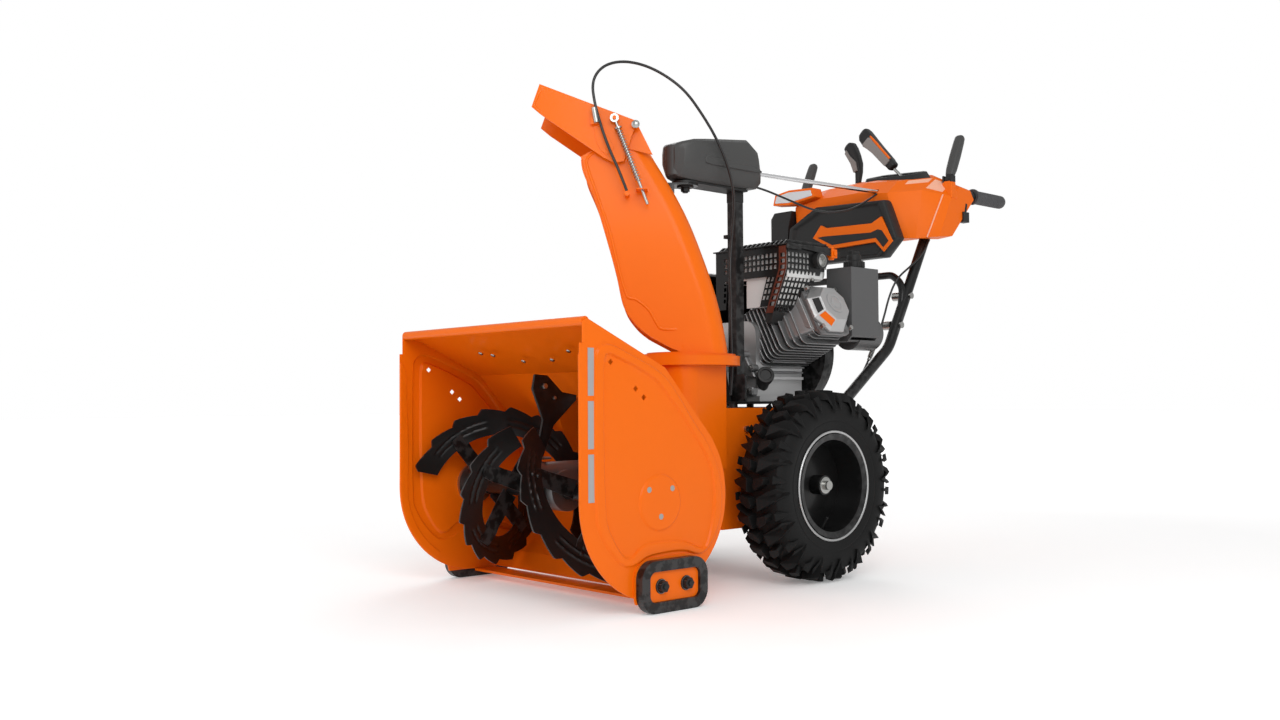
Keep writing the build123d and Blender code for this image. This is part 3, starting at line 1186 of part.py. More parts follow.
def speed_lever():
    """Speed selector: a flat lever on a cross pin, standing up through its slot."""
    stem = block((-4, 4), (-6, 6), (-16, 80))
    grip = block((-13, 13), (-13, 13), (68, 154))
    grip = chamfer(grip.edges().filter_by(Axis.Z), 5)
    lever = Rot(-8, 0, 0) * (stem + grip)
    hub = bar((-7, 0, 0), (7, 0, 0), 12)
    body = lever + hub - bar((-20, 0, 0), (20, 0, 0), LEVER_PIN_R + RUNNING_FIT)
    return Pos(SPEED_X, SPEED_PIVOT_Y, SPEED_PIVOT_Z) * body


def clutch_lever():
    """Left clutch lever: a hub on a cross pin inside the panel and a tapered paddle."""
    hub = bar((-8, 0, 0), (8, 0, 0), 8)
    paddle_low = Plane.XY.offset(12) * RectangleRounded(16, 16, 5)
    paddle_high = Plane.XY.offset(LEVER_L) * RectangleRounded(12, 13, 5)
    paddle = loft([paddle_low, paddle_high])
    stem = block((-5, 5), (-7, 7), (0, 20))
    upright = Rot(-(90 - LEVER_DEG), 0, 0) * (paddle + stem)
    body = hub + upright - bar((-20, 0, 0), (20, 0, 0), LEVER_PIN_R + RUNNING_FIT)
    return Pos(UPPER_X, LEVER_HINGE_Y, LEVER_HINGE_Z) * body


def lever_bracket(x, grow=0.0):
    """Block-shaped outline of a clutch lever's bracket, or a hole for it."""
    return block((x - 12 - grow, x + 12 + grow), (LEVER_HINGE_Y - 8 - grow, LEVER_HINGE_Y + 8 + grow),
                 (LEVER_HINGE_Z - 40, LEVER_HINGE_Z + 8))


def control_pins(panel):
    """Forked brackets with cross pins for the clutch levers and, under the panel, the speed lever."""
    pieces = []
    for x in (UPPER_X, -UPPER_X):
        gap = block((x - 9, x + 9), (LEVER_HINGE_Y - 12, LEVER_HINGE_Y + 12),
                    (LEVER_HINGE_Z - 12, LEVER_HINGE_Z + 20))
        pin = bar((x - 13, LEVER_HINGE_Y, LEVER_HINGE_Z), (x + 13, LEVER_HINGE_Y, LEVER_HINGE_Z), LEVER_PIN_R)
        pieces.append(lever_bracket(x) - gap + pin)
    y, z = SPEED_PIVOT_Y, SPEED_PIVOT_Z
    pin = bar((SPEED_X - 19, y, z), (SPEED_X + 19, y, z), LEVER_PIN_R)
    for side in (-1, 1):
        pin += block(sorted((SPEED_X + side * 13, SPEED_X + side * 18)), (y - 8, y + 8), (z - 10, z + 60))
    pieces.append((pin - panel).solids().sort_by(SortBy.VOLUME)[-1])
    return pieces


def headlight_lens(outer):
    """Frosted lens across the right half of the panel's front."""
    lens = front_slab([(-200, 918), (-194, 938), (-150, 944), (-72, 940), (-66, 922), (-150, 914)],
                      (412, 480))
    return lens - outer


# ---- cables -----------------------------------------------------------------------------
def in_chute(t, s, z):
    """A point given across, ahead of and above the chute's own frame."""
    point = to_chute(Pos(t, -s, z)).position
    return (point.X, point.Y, point.Z)


DEFLECTOR_CABLE_R = 3.0
DEFLECTOR_CABLE = [
    in_chute(CABLE_T, 124, 825),
    in_chute(CABLE_T, 140, 868),
    in_chute(CABLE_T, 160, 912),
    in_chute(CABLE_T, 176, 958),
    in_chute(CABLE_T, 190, 1008),
    in_chute(CABLE_T - 5, 196, 1056),
    in_chute(CABLE_T - 14, 176, 1090),
    in_chute(84, 138, 1106),
    in_chute(66, 92, 1104),
    in_chute(52, 46, 1086),
    in_chute(46, 0, 1052),
    (138, -214, 1006),
    (150, -182, 956),
    (152, -150, 904),
    (144, -122, 854),
    (124, -100, 808),
    (108, -90, 760),
    (106, -94, 706),
    (108, -98, 654),
    (107, -94, 602),
    (110, -98, 552),
    (109, -95, 502),
    (113, -98, 450),
    (112, -103, 400),
]
DRIVE_CABLE_R = 2.5
DRIVE_CABLE = [
    (208, 524, 789),
    (206, 500, 754),
    (198, 462, 721),
    (178, 426, 688),
    (168, 406, 640),
    (166, 388, 590),
    (165, 361, 538),
    (163, 330, 486),
    (160, 298, 440),
    (155, 262, 408),
    (149, 224, 384),
]
HEAD_CABLE = [
    (76, -2, 884),
    (78, 44, 880),
    (84, 90, 870),
    (92, 138, 858),
    (98, 188, 846),
    (104, 240, 842),
    (108, 292, 848),
    (112, 340, 860),
    (116, 384, 880),
    (118, 430, 906),
]


def cable(points, radius):
    """A cable along its route, with the widest bends the route leaves room for."""
    return tube(points, bend_radii(points), radius)


def control_cables(panel):
    """Drive cables below both grips with their springs, and the cable beside the chute rod."""
    left = cable(DRIVE_CABLE, DRIVE_CABLE_R)
    head = cable(HEAD_CABLE, DRIVE_CABLE_R)
    head = (head - panel).solids().sort_by(SortBy.VOLUME)[-1]
    a, b = Vector(*DRIVE_CABLE[6]), Vector(*DRIVE_CABLE[7])
    spring = bar(tuple(a + (b - a) * 0.1), tuple(a + (b - a) * 0.9), 6)
    left = left + spring
    return [left, mirror(left, about=Plane.YZ), head]


# ---- belt idler -------------------------------------------------------------------------
def idler_centre():
    """Idler beside the belt's right-hand run, a little clear of it while the clutch is out."""
    low = (0.0, impeller_z())
    high = (CRANK_X, CRANK_Z)
    share = 0.3
    half = (AUGER_PULLEY_R * (1 - share) + ENGINE_PULLEY_R * share) + BELT_T
    x = low[0] + (high[0] - low[0]) * share - half * 1.06 - IDLER_R - 4
    z = low[1] + (high[1] - low[1]) * share
    return x, z


def idler_pivot():
    x, z = idler_centre()
    return (x - 8, z - 92)


def belt_idler():
    """Arm and roller that tighten the auger belt when the clutch lever is squeezed."""
    x, z = idler_centre()
    px, pz = idler_pivot()
    y_back = BELT_Y + BELT_W / 2 + 8
    roller = bar((x, BELT_Y - BELT_W / 2, z), (x, BELT_Y + BELT_W / 2, z), IDLER_R)
    stub = bar((x, BELT_Y, z), (x, y_back + 5, z), 5)
    arm = bar((px, y_back, pz), (px, y_back + 5, pz), 13) + bar((x, y_back, z), (x, y_back + 5, z), 11)
    direction = math.degrees(math.atan2(z - pz, x - px))
    length = math.hypot(x - px, z - pz)
    link = Pos(px, y_back + 2.5, pz) * Rot(0, -direction, 0) * Box(length, 5, 20,
                                                                   align=(Align.MIN, Align.CENTER,
                                                                          Align.CENTER))
    hole = bar((px, y_back - 2, pz), (px, y_back + 8, pz), 6 + RUNNING_FIT)
    return roller + stub + arm + link - hole


def idler_post():
    """Pivot stud of the idler arm, welded to the frame's front wall."""
    px, pz = idler_pivot()
    end = BELT_Y + BELT_W / 2 + 14
    return bar((px, FRAME_FRONT_Y + FRAME_T, pz), (px, end, pz), 6)


# ---- output -----------------------------------------------------------------------------
def fasteners(panel):
    """Every separate bolt, nut and knob that stays on the machine."""
    left = skid_bolts() + bearing_bolts() + handle_hardware()
    pieces = left + [mirror(piece, about=Plane.YZ) for piece in left]
    for y, z in ((-99, 326), (-126, 184), (-120, 134)):
        for side in (-1, 1):
            start = side * FRAME_HALF_W
            pieces.append(bar((start, y, z), (start + side * 6, y, z), 7))
    return Compound(pieces + control_pins(panel))


def mirrored(shape):
    return mirror(shape, about=Plane.YZ)


def build_nodes():
    """Every named sub-part, still in the axle-based frame."""
    dash_outer = dash_solid(0)
    panel = dash_body(dash_outer)
    cables = control_cables(dash_outer)
    deflector_cable = cable(DEFLECTOR_CABLE, DEFLECTOR_CABLE_R)
    tyre_left = tyre()
    rim_left = rim()
    axle_left = axle()
    lever_left = clutch_lever()
    left_plate = side_plate()
    shoe = skid_shoe()
    bracket = skid_bracket()
    nodes = {
        "housing_shell": housing_shell(),
        "side_plate_left": left_plate,
        "side_plate_right": mirrored(left_plate),
        "scraper_bar": scraper_bar(),
        "reflector_strips": reflectors(),
        "skid_shoes": both_sides(shoe),
        "skid_brackets": both_sides(bracket),
        "fasteners": fasteners(panel),
        "impeller_drum": impeller_drum(),
        "chute_ring": chute_ring(),
        "shaft_bearings": shaft_bearings(),
        "auger_gearbox": auger_gearbox(),
        "auger_shaft": auger_shaft(),
        "auger_left": auger_flight(1),
        "auger_right": auger_flight(-1),
        "impeller": impeller(),
        "impeller_shaft": impeller_shaft(),
        "auger_pulley": pulley(0, impeller_z(), AUGER_PULLEY_R, IMPELLER_SHAFT_R + RUNNING_FIT),
        "crankshaft": Compound([crankshaft(),
                                pulley(CRANK_X, CRANK_Z, ENGINE_PULLEY_R, CRANK_R + RUNNING_FIT)]),
        "drive_belt": drive_belt(),
        "belt_idler": belt_idler(),
        "belt_cover": belt_cover(),
        "tractor_frame": tractor_frame() + idler_post(),
        "engine_deck": engine_deck(),
        "transaxle_case": transaxle_case(),
        "axle_left": axle_left,
        "axle_right": mirrored(axle_left),
        "rim_left": rim_left,
        "rim_right": mirrored(rim_left),
        "tyre_left": tyre_left,
        "tyre_right": mirrored(tyre_left),
        "chute": chute(),
        "chute_arm": chute_arm(),
        "deflector": deflector(),
        "spring_rod": spring_rod(),
        "deflector_spring": deflector_spring(),
        "chute_post": chute_post(),
        "gear_head_case": gear_head_case(),
        "gear_head_cover": gear_head_cover(),
        "engine_block": engine_block(),
        "engine_cylinder": engine_cylinder(),
        "rocker_cover": rocker_cover(),
        "muffler": muffler(),
        "muffler_guard": muffler_guard(),
        "fuel_tank": fuel_tank(),
        "fuel_cap": fuel_cap(),
        "engine_shroud": Compound([*engine_shroud().solids(), recoil_cover()]),
        "recoil_handle": recoil_handle(),
        "handlebars": handlebars(),
        "handle_grips": handle_grips(),
        "dash_body": panel,
        "dash_panels": Compound(dash_panels(dash_outer)),
        "headlight_lens": headlight_lens(dash_outer),
        "chute_control_rod": chute_control_rod(),
        "chute_lever": joystick(),
        "speed_lever": speed_lever(),
        "clutch_lever_left": lever_left,
        "clutch_lever_right": mirrored(lever_left),
        "control_cables": Compound(cables),
        "deflector_cable": deflector_cable,
    }
    return nodes


def write_part():
    os.makedirs("parts", exist_ok=True)
    for name, shape in build_nodes().items():
        export_step(TO_ORIGIN * shape, "parts/" + name + ".step")


if __name__ == "__main__":
    write_part()
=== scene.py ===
import json
import math

import bmesh
import bpy
from mathutils import Matrix, Vector


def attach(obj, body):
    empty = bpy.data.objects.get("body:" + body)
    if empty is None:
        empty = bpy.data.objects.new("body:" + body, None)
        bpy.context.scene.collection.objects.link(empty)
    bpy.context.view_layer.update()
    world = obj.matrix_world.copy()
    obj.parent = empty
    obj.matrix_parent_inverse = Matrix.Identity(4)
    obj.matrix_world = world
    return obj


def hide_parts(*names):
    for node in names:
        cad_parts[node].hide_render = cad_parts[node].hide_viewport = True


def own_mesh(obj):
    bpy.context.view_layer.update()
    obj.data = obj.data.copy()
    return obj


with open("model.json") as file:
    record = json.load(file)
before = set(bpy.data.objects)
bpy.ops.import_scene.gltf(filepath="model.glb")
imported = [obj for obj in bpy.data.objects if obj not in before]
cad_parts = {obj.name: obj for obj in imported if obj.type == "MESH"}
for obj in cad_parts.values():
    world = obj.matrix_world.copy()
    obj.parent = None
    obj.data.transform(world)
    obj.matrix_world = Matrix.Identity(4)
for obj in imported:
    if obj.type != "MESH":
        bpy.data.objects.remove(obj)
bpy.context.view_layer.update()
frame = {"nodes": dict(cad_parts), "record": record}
nodes = frame["nodes"]

# ---- camera ----
CAMERA_AT = Vector((1.919, -2.066, 0.389))
CAMERA_AZIMUTH = math.radians(47.87)
CAMERA_PITCH = math.radians(1.97)
CAMERA_ROLL = math.radians(-0.37)
LENS_MM = 33.32


def place_camera():
    """The camera, standing ahead of the machine and to its left, with a nearly level view."""
    ahead = Vector((-math.sin(CAMERA_AZIMUTH) * math.cos(CAMERA_PITCH),
                    math.cos(CAMERA_AZIMUTH) * math.cos(CAMERA_PITCH), math.sin(CAMERA_PITCH)))
    right = Vector((math.cos(CAMERA_AZIMUTH), math.sin(CAMERA_AZIMUTH), 0))
    up = right.cross(ahead)
    rolled_right = math.cos(CAMERA_ROLL) * right + math.sin(CAMERA_ROLL) * up
    rolled_up = -math.sin(CAMERA_ROLL) * right + math.cos(CAMERA_ROLL) * up
    turn = Matrix((rolled_right, rolled_up, -ahead)).transposed()
    data = bpy.data.cameras.new("front_camera")
    data.lens = LENS_MM
    data.sensor_width = 36.0
    camera = bpy.data.objects.new("front_camera", data)
    camera.matrix_world = Matrix.Translation(CAMERA_AT) @ turn.to_4x4()
    bpy.context.scene.collection.objects.link(camera)
    bpy.context.scene.camera = camera


# ---- shader node groups ----
def new_group(name, inputs, outputs):
    """An empty shader node group with its sockets; returns (group, input node, output node)."""
    group = bpy.data.node_groups.new(name, "ShaderNodeTree")
    for label, value in inputs:
        socket = group.interface.new_socket(label, in_out="INPUT", socket_type="NodeSocketFloat")
        socket.default_value = value
    for label, kind in outputs:
        group.interface.new_socket(label, in_out="OUTPUT", socket_type=kind)
    return group, group.nodes.new("NodeGroupInput"), group.nodes.new("NodeGroupOutput")


def link(tree, start, end):
    tree.links.new(start, end)


def noise(tree, scale, detail, coordinates, roughness=0.55):
    node = tree.nodes.new("ShaderNodeTexNoise")
    node.inputs["Detail"].default_value = detail
    node.inputs["Roughness"].default_value = roughness
    if isinstance(scale, (int, float)):
        node.inputs["Scale"].default_value = scale
    else:
        link(tree, scale, node.inputs["Scale"])
    link(tree, coordinates, node.inputs["Vector"])
    return node.outputs["Fac"]


def ramp(tree, value, low, high, to_low=0.0, to_high=1.0):
    """value between low and high, stretched to to_low..to_high and clamped."""
    node = tree.nodes.new("ShaderNodeMapRange")
    node.inputs["From Min"].default_value = low
    node.inputs["From Max"].default_value = high
    node.inputs["To Min"].default_value = to_low
    node.inputs["To Max"].default_value = to_high
    link(tree, value, node.inputs["Value"])
    return node.outputs["Result"]


def maths(tree, operation, a, b):
    node = tree.nodes.new("ShaderNodeMath")
    node.operation = operation
    for socket, value in zip(node.inputs, (a, b)):
        if isinstance(value, (int, float)):
            socket.default_value = value
        else:
            link(tree, value, socket)
    return node.outputs[0]


def object_place(tree):
    return tree.nodes.new("ShaderNodeTexCoord").outputs["Object"]


def make_grain_group():
    """Fine grain and slow cloudiness of a moulded, cast or sprayed surface."""
    group, given, made = new_group("surface_grain",
                                   [("Grain Scale", 900.0), ("Cloud Scale", 9.0), ("Cloud Amount", 0.1)],
                                   [(label, "NodeSocketFloat") for label in ("Height", "Tone", "Patches")])
    place = object_place(group)
    fine = noise(group, given.outputs["Grain Scale"], 3.0, place)
    cloud = noise(group, given.outputs["Cloud Scale"], 4.0, place)
    shift = maths(group, "MULTIPLY", maths(group, "SUBTRACT", cloud, 0.5), given.outputs["Cloud Amount"])
    link(group, fine, made.inputs["Height"])
    link(group, maths(group, "ADD", shift, 1.0), made.inputs["Tone"])
    link(group, ramp(group, cloud, 0.35, 0.7), made.inputs["Patches"])
    return group


def make_wear_group():
    """Where edges stand proud and rub: a broken mask along the convex edges."""
    group, given, made = new_group("edge_wear", [("Edge", 0.53), ("Break Scale", 60.0)],
                                   [("Mask", "NodeSocketFloat")])
    pointed = group.nodes.new("ShaderNodeNewGeometry").outputs["Pointiness"]
    over = maths(group, "MULTIPLY", maths(group, "SUBTRACT", pointed, given.outputs["Edge"]), 18.0)
    broken = noise(group, given.outputs["Break Scale"], 5.0, object_place(group))
    mask = maths(group, "MULTIPLY", over, ramp(group, broken, 0.45, 0.62))
    node = group.nodes.new("ShaderNodeClamp")
    link(group, mask, node.inputs["Value"])
    link(group, node.outputs["Result"], made.inputs["Mask"])
    return group


def make_dust_group():
    """Thin dust that settles on what faces up, in broken patches."""
    group, given, made = new_group("settled_dust", [("Amount", 0.1), ("Patch Scale", 14.0)],
                                   [("Mask", "NodeSocketFloat")])
    normal = group.nodes.new("ShaderNodeNewGeometry").outputs["Normal"]
    parts = group.nodes.new("ShaderNodeSeparateXYZ")
    link(group, normal, parts.inputs["Vector"])
    up = ramp(group, parts.outputs["Z"], 0.1, 1.0)
    patches = ramp(group, noise(group, given.outputs["Patch Scale"], 6.0, object_place(group)), 0.35, 0.75)
    mask = maths(group, "MULTIPLY", maths(group, "MULTIPLY", up, patches), given.outputs["Amount"])
    link(group, mask, made.inputs["Mask"])
    return group


grain_group = make_grain_group()
wear_group = make_wear_group()
dust_group = make_dust_group()


def use_group(tree, group, **values):
    node = tree.nodes.new("ShaderNodeGroup")
    node.node_tree = group
    for label, value in values.items():
        node.inputs[label.replace("_", " ")].default_value = value
    return node.outputs


def blend_colours(tree, share, first, second):
    node = tree.nodes.new("ShaderNodeMix")
    node.data_type = "RGBA"
    for socket, value in ((node.inputs[0], share), (node.inputs[6], first), (node.inputs[7], second)):
        if isinstance(value, bpy.types.NodeSocket):
            link(tree, value, socket)
        elif isinstance(value, (int, float)):
            socket.default_value = value
        else:
            socket.default_value = (*value, 1.0)
    return node.outputs[2]


def finish_material(name, colour, roughness, metallic=0.0, grain=900.0, depth=0.0001, cloud=0.08, cloud_scale=9.0,
                    rough_swing=0.06, dust=0.05, wear=0.0, wear_colour=(0.5, 0.5, 0.5), coat=0.0, coat_rough=0.08,
                    specular=0.5, edge=0.53):
    """A material with grain, slow tone changes, settled dust and, where asked, rubbed edges."""
    material = bpy.data.materials.new(name)
    material.use_nodes = True
    tree = material.node_tree
    tree.nodes.clear()
    shader = tree.nodes.new("ShaderNodeBsdfPrincipled")
    out = tree.nodes.new("ShaderNodeOutputMaterial")
    link(tree, shader.outputs[0], out.inputs["Surface"])
    surface = use_group(tree, grain_group, Grain_Scale=grain, Cloud_Scale=cloud_scale, Cloud_Amount=cloud)
    tinted = tree.nodes.new("ShaderNodeVectorMath")
    tinted.operation = "SCALE"
    tinted.inputs[0].default_value = colour
    link(tree, surface["Tone"], tinted.inputs["Scale"])
    shade = tinted.outputs[0]
    dusty = use_group(tree, dust_group, Amount=dust)["Mask"]
    shade = blend_colours(tree, dusty, shade, tuple(min(1.0, c * 0.6 + 0.22) for c in colour))
    rough = ramp(tree, surface["Patches"], 0.0, 1.0, max(0.02, roughness - rough_swing),
                 min(1.0, roughness + rough_swing))
    if wear > 0:
        rubbed = maths(tree, "MULTIPLY", use_group(tree, wear_group, Edge=edge)["Mask"], wear)
        shade = blend_colours(tree, rubbed, shade, wear_colour)
    link(tree, shade, shader.inputs["Base Color"])
    link(tree, rough, shader.inputs["Roughness"])
    bump = tree.nodes.new("ShaderNodeBump")
    bump.inputs["Strength"].default_value = 0.35
    bump.inputs["Distance"].default_value = depth
    link(tree, surface["Height"], bump.inputs["Height"])
    link(tree, bump.outputs["Normal"], shader.inputs["Normal"])
    shader.inputs["Metallic"].default_value = metallic
    shader.inputs["Coat Weight"].default_value = coat
    shader.inputs["Coat Roughness"].default_value = coat_rough
    shader.inputs["Specular IOR Level"].default_value = specular
    return material


ORANGE = (0.80, 0.137, 0.002)
# (colour, roughness, what else differs from a plain finish)
FINISHES = {
    "orange_paint": (ORANGE, 0.36, dict(grain=420, depth=0.00006, cloud=0.05, coat=0.12, coat_rough=0.12,
                                        specular=0.12, dust=0.015)),
    "black_paint": ((0.006, 0.006, 0.006), 0.36, dict(grain=500, depth=0.00008, coat=0.05, wear=0.3, specular=0.3,
                                                      dust=0.02, wear_colour=(0.09, 0.09, 0.09))),
    "dark_plastic": ((0.014, 0.014, 0.014), 0.5, dict(grain=1500, depth=0.00015, specular=0.3, dust=0.02)),
    "grey_plastic": ((0.052, 0.052, 0.051), 0.46, dict(grain=1500, depth=0.00015, specular=0.35, dust=0.02)),
    "orange_plastic": (ORANGE, 0.42, dict(grain=1300, depth=0.0001, cloud=0.04, specular=0.15, dust=0.015)),
    "reflective_tape": ((0.36, 0.36, 0.37), 0.4, dict(grain=700, metallic=0.2)),
    "zinc_steel": ((0.42, 0.42, 0.405), 0.36, dict(metallic=1.0, grain=600, cloud=0.2, rough_swing=0.12)),
    "cast_alloy": ((0.2, 0.2, 0.202), 0.5, dict(metallic=0.6, grain=350, depth=0.0004, cloud=0.25)),
    "bright_alloy": ((0.46, 0.46, 0.46), 0.42, dict(metallic=0.75, grain=450, depth=0.0003, cloud=0.15)),
    "dark_iron": ((0.03, 0.03, 0.03), 0.55, dict(metallic=0.5, grain=300, depth=0.0004)),
    "rod_chrome": ((0.75, 0.75, 0.76), 0.12, dict(metallic=1.0, grain=200, rough_swing=0.04)),
    "tyre_rubber": ((0.007, 0.007, 0.007), 0.6, dict(grain=700, depth=0.0003, cloud=0.3, dust=0.015, specular=0.16)),
    # painted highlight: pale orange standing in for glints on the control panel's facets and along a crease
    "painted_highlight_orange": ((0.86, 0.42, 0.28), 0.35, dict(grain=900, depth=0.00005)),
    "grip_face": ((0.2, 0.185, 0.175), 0.5, dict(grain=1800, depth=0.0002)),
    # painted shade: dark red standing in for the shade on the muffler guard's front-facing corner strip
    "painted_shade_red": ((0.10, 0.018, 0.006), 0.5, dict(grain=500, depth=0.0002)),
    # painted light: pale grey that makes the silencer behind the guard read as lit, though it stands in shadow
    "silencer_painted_light": ((0.62, 0.62, 0.61), 0.5, dict(metallic=0.2, grain=500, cloud=0.2)),
    "tank_plastic": ((0.085, 0.085, 0.086), 0.4, dict(grain=1500, depth=0.00015, specular=0.4, dust=0.02)),
    "cast_dark": ((0.24, 0.24, 0.242), 0.45, dict(metallic=0.8, grain=350, depth=0.0004, cloud=0.25)),
    "grip_rubber": ((0.05, 0.05, 0.053), 0.6, dict(grain=900, depth=0.0002)),
    "belt_rubber": ((0.02, 0.02, 0.02), 0.7, dict(grain=900, depth=0.0002)),
    "cable_sheath": ((0.01, 0.01, 0.01), 0.35, dict(grain=900, depth=0.0001)),
    "lens_clear": ((0.6, 0.62, 0.64), 0.2, dict(grain=300, depth=0.0004, coat=0.5)),
}
finishes = {name: finish_material(name, colour, roughness, **more)
            for name, (colour, roughness, more) in FINISHES.items()}


# nodes that look different from their slot's finish
LOOKS = {"fuel_tank": "tank_plastic", "auger_gearbox": "cast_dark"}


NODE_EDGE = 0.8                     # edge radius of the plain nodes, mm
NODE_CREASE = 35.0                  # edges that bend by more than this many degrees are softened


def soften_edges(made, width, crease):
    soften = made.modifiers.new("edges", "BEVEL")
    soften.width = width / 1000
    soften.segments = 2
    soften.limit_method = "ANGLE"
    soften.angle_limit = math.radians(crease)


def even_normals(made):
    made.modifiers.new("smooth", "WEIGHTED_NORMAL").keep_sharp = True


def dress_cad_nodes():
    """Every node gets its slot's finish and softened edges."""
    slot_of = {s["node"]: s["material_slot"] for s in frame["record"]["subparts"]}
    for name, node in nodes.items():
        node.data.materials.clear()
        node.data.materials.append(finishes[LOOKS.get(name, slot_of[name])])
        soften_edges(node, NODE_EDGE, NODE_CREASE)
        even_normals(node)


SKY_LIGHT = 0.62                    # strength of the surround as a light; it is seen as plain white
FLOOR_GLOW = 0.17
FAR_GLOW = 0.45                     # added to the floor beyond the machine, where only the camera sees it


FLOOR_HALF = 30.0                   # half the floor's width, m
GLOW_FROM, GLOW_TO = 1.6, 5.0       # the far glow grows between these distances from the middle, m
LAMPS = (("key", (2.9, -2.2, 2.3), (0, 0, 0.4), 2.2, 67),          # name, place, target, size in m, power in W
         ("front", (-1.2, -3.8, 1.9), (0, -0.3, 0.5), 2.6, 24),
         ("rim", (-2.5, 2.2, 2.6), (0, 0.2, 0.6), 2.0, 30))


def light_studio():
    """Pale floor, a bright surround and three large soft lights."""
    world = bpy.data.worlds.new("studio")
    world.use_nodes = True
    world.node_tree.nodes["Background"].inputs["Color"].default_value = (1.0, 1.0, 1.0, 1.0)
    seen = world.node_tree.nodes.new("ShaderNodeLightPath").outputs["Is Camera Ray"]
    link(world.node_tree, ramp(world.node_tree, seen, 0.0, 1.0, SKY_LIGHT, 1.0),
         world.node_tree.nodes["Background"].inputs["Strength"])
    bpy.context.scene.world = world
    bpy.context.scene.view_settings.view_transform = "Standard"
    mesh = bpy.data.meshes.new("studio_floor")
    corners = [(x * FLOOR_HALF, y * FLOOR_HALF, 0) for x, y in ((-1, -1), (1, -1), (1, 1), (-1, 1))]
    mesh.from_pydata(corners, [], [(0, 1, 2, 3)])
    floor = bpy.data.objects.new("studio_floor", mesh)
    floor.location.z = -0.0005
    bpy.context.scene.collection.objects.link(floor)
    pale = finish_material("pale_floor", (0.96, 0.96, 0.96), 0.6, grain=60, cloud=0.01, dust=0.0, specular=0.1)
    shader = next(n for n in pale.node_tree.nodes if n.type == "BSDF_PRINCIPLED")
    shader.inputs["Emission Color"].default_value = (1.0, 1.0, 1.0, 1.0)
    away = pale.node_tree.nodes.new("ShaderNodeVectorMath")
    away.operation = "LENGTH"
    link(pale.node_tree, object_place(pale.node_tree), away.inputs[0])
    far_glow = maths(pale.node_tree, "MULTIPLY", ramp(pale.node_tree, away.outputs["Value"], GLOW_FROM, GLOW_TO,
                                                          0.0, FAR_GLOW),
                     pale.node_tree.nodes.new("ShaderNodeLightPath").outputs["Is Camera Ray"])
    link(pale.node_tree, maths(pale.node_tree, "ADD", far_glow, FLOOR_GLOW), shader.inputs["Emission Strength"])
    mesh.materials.append(pale)
    for name, place, target, size, power in LAMPS:
        data = bpy.data.lights.new(name, "AREA")
        data.size = size
        data.energy = power
        light = bpy.data.objects.new(name, data)
        light.location = place
        light.rotation_euler = (Vector(target) - Vector(place)).to_track_quat("-Z", "Y").to_euler()
        bpy.context.scene.collection.objects.link(light)

# ---- shapes: lists of points and faces, in millimetres with y = 0 at the wheel axle ----
AXLE_Y = 0.059                      # the wheel axle in the shared frame, towards the front


def at(point):
    """A point of the machine, from millimetres about the axle to metres in the shared frame."""
    return Vector((point[0] / 1000, point[1] / 1000 - AXLE_Y, point[2] / 1000))


def join(*shapes):
    points, faces = [], []
    for shape in shapes:
        start = len(points)
        points += [tuple(p) for p in shape[0]]
        faces += [tuple(i + start for i in face) for face in shape[1]]
    return points, faces


def moved(shape, matrix):
    return [tuple(matrix @ Vector(p)) for p in shape[0]], shape[1]


def shifted(shape, x, y, z):
    return moved(shape, Matrix.Translation((x, y, z)))


def mirrored(shape):
    return [(-x, y, z) for x, y, z in shape[0]], [tuple(reversed(face)) for face in shape[1]]


def skin(rings, closed=True, caps=True):
    """Quads between rings that all have the same number of points."""
    count = len(rings[0])
    points = [tuple(p) for loop in rings for p in loop]
    faces = []
    for r in range(len(rings) - 1):
        for i in range(count if closed else count - 1):
            j = (i + 1) % count
            faces.append((r * count + i, r * count + j, (r + 1) * count + j, (r + 1) * count + i))
    if caps and closed:
        faces.append(tuple(range(count))[::-1])
        faces.append(tuple((len(rings) - 1) * count + i for i in range(count)))
    return points, faces


def turning_frame(direction):
    """Rotation that carries +Z onto a direction."""
    return Vector(direction).to_track_quat("Z", "Y").to_matrix().to_4x4()


def lathe(profile, start, direction, segments=48):
    """A profile of (radius, distance) turned about the line from start along direction.

    A profile that starts on the axis is closed with flat ends; any other is a ring-shaped loop."""
    rings = []
    for radius, distance in profile:
        rings.append([(radius * math.cos(math.tau * i / segments), radius * math.sin(math.tau * i / segments), distance)
                      for i in range(segments)])
    place = Matrix.Translation(start) @ turning_frame(direction)
    solid = min(profile[0][0], profile[-1][0]) < 1.0
    if not solid:
        rings.append(rings[0])
    return moved(skin(rings, caps=solid), place)


def rod(start, end, radius, segments=20, soft=0.6):
    """A round bar with softened ends."""
    length = (Vector(end) - Vector(start)).length
    profile = [(0.2, 0), (radius - soft, 0), (radius, soft), (radius, length - soft), (radius - soft, length),
               (0.2, length)]
    return lathe(profile, start, Vector(end) - Vector(start), segments)


def box(x, y, z):
    points = [(a, b, c) for a in x for b in y for c in z]
    return points, [(0, 1, 3, 2), (4, 6, 7, 5), (0, 4, 5, 1), (2, 3, 7, 6), (0, 2, 6, 4), (1, 5, 7, 3)]


def slab(outline, x):
    """An outline in (y, z) between two values of x."""
    return skin([[(x[0], y, z) for y, z in outline], [(x[1], y, z) for y, z in outline]])


def strand(points, radius, segments=12):
    """A round strand through points."""
    rings = []
    spots = [Vector(p) for p in points]
    side = None
    for i, spot in enumerate(spots):
        ahead = spots[min(i + 1, len(spots) - 1)] - spots[max(i - 1, 0)]
        ahead.normalize()
        if side is None:
            side = ahead.orthogonal().normalized()
        side = (side - ahead * side.dot(ahead)).normalized()
        other = ahead.cross(side)
        rings.append([tuple(spot + radius * (math.cos(math.tau * k / segments) * side
                                             + math.sin(math.tau * k / segments) * other)) for k in range(segments)])
    return skin(rings)


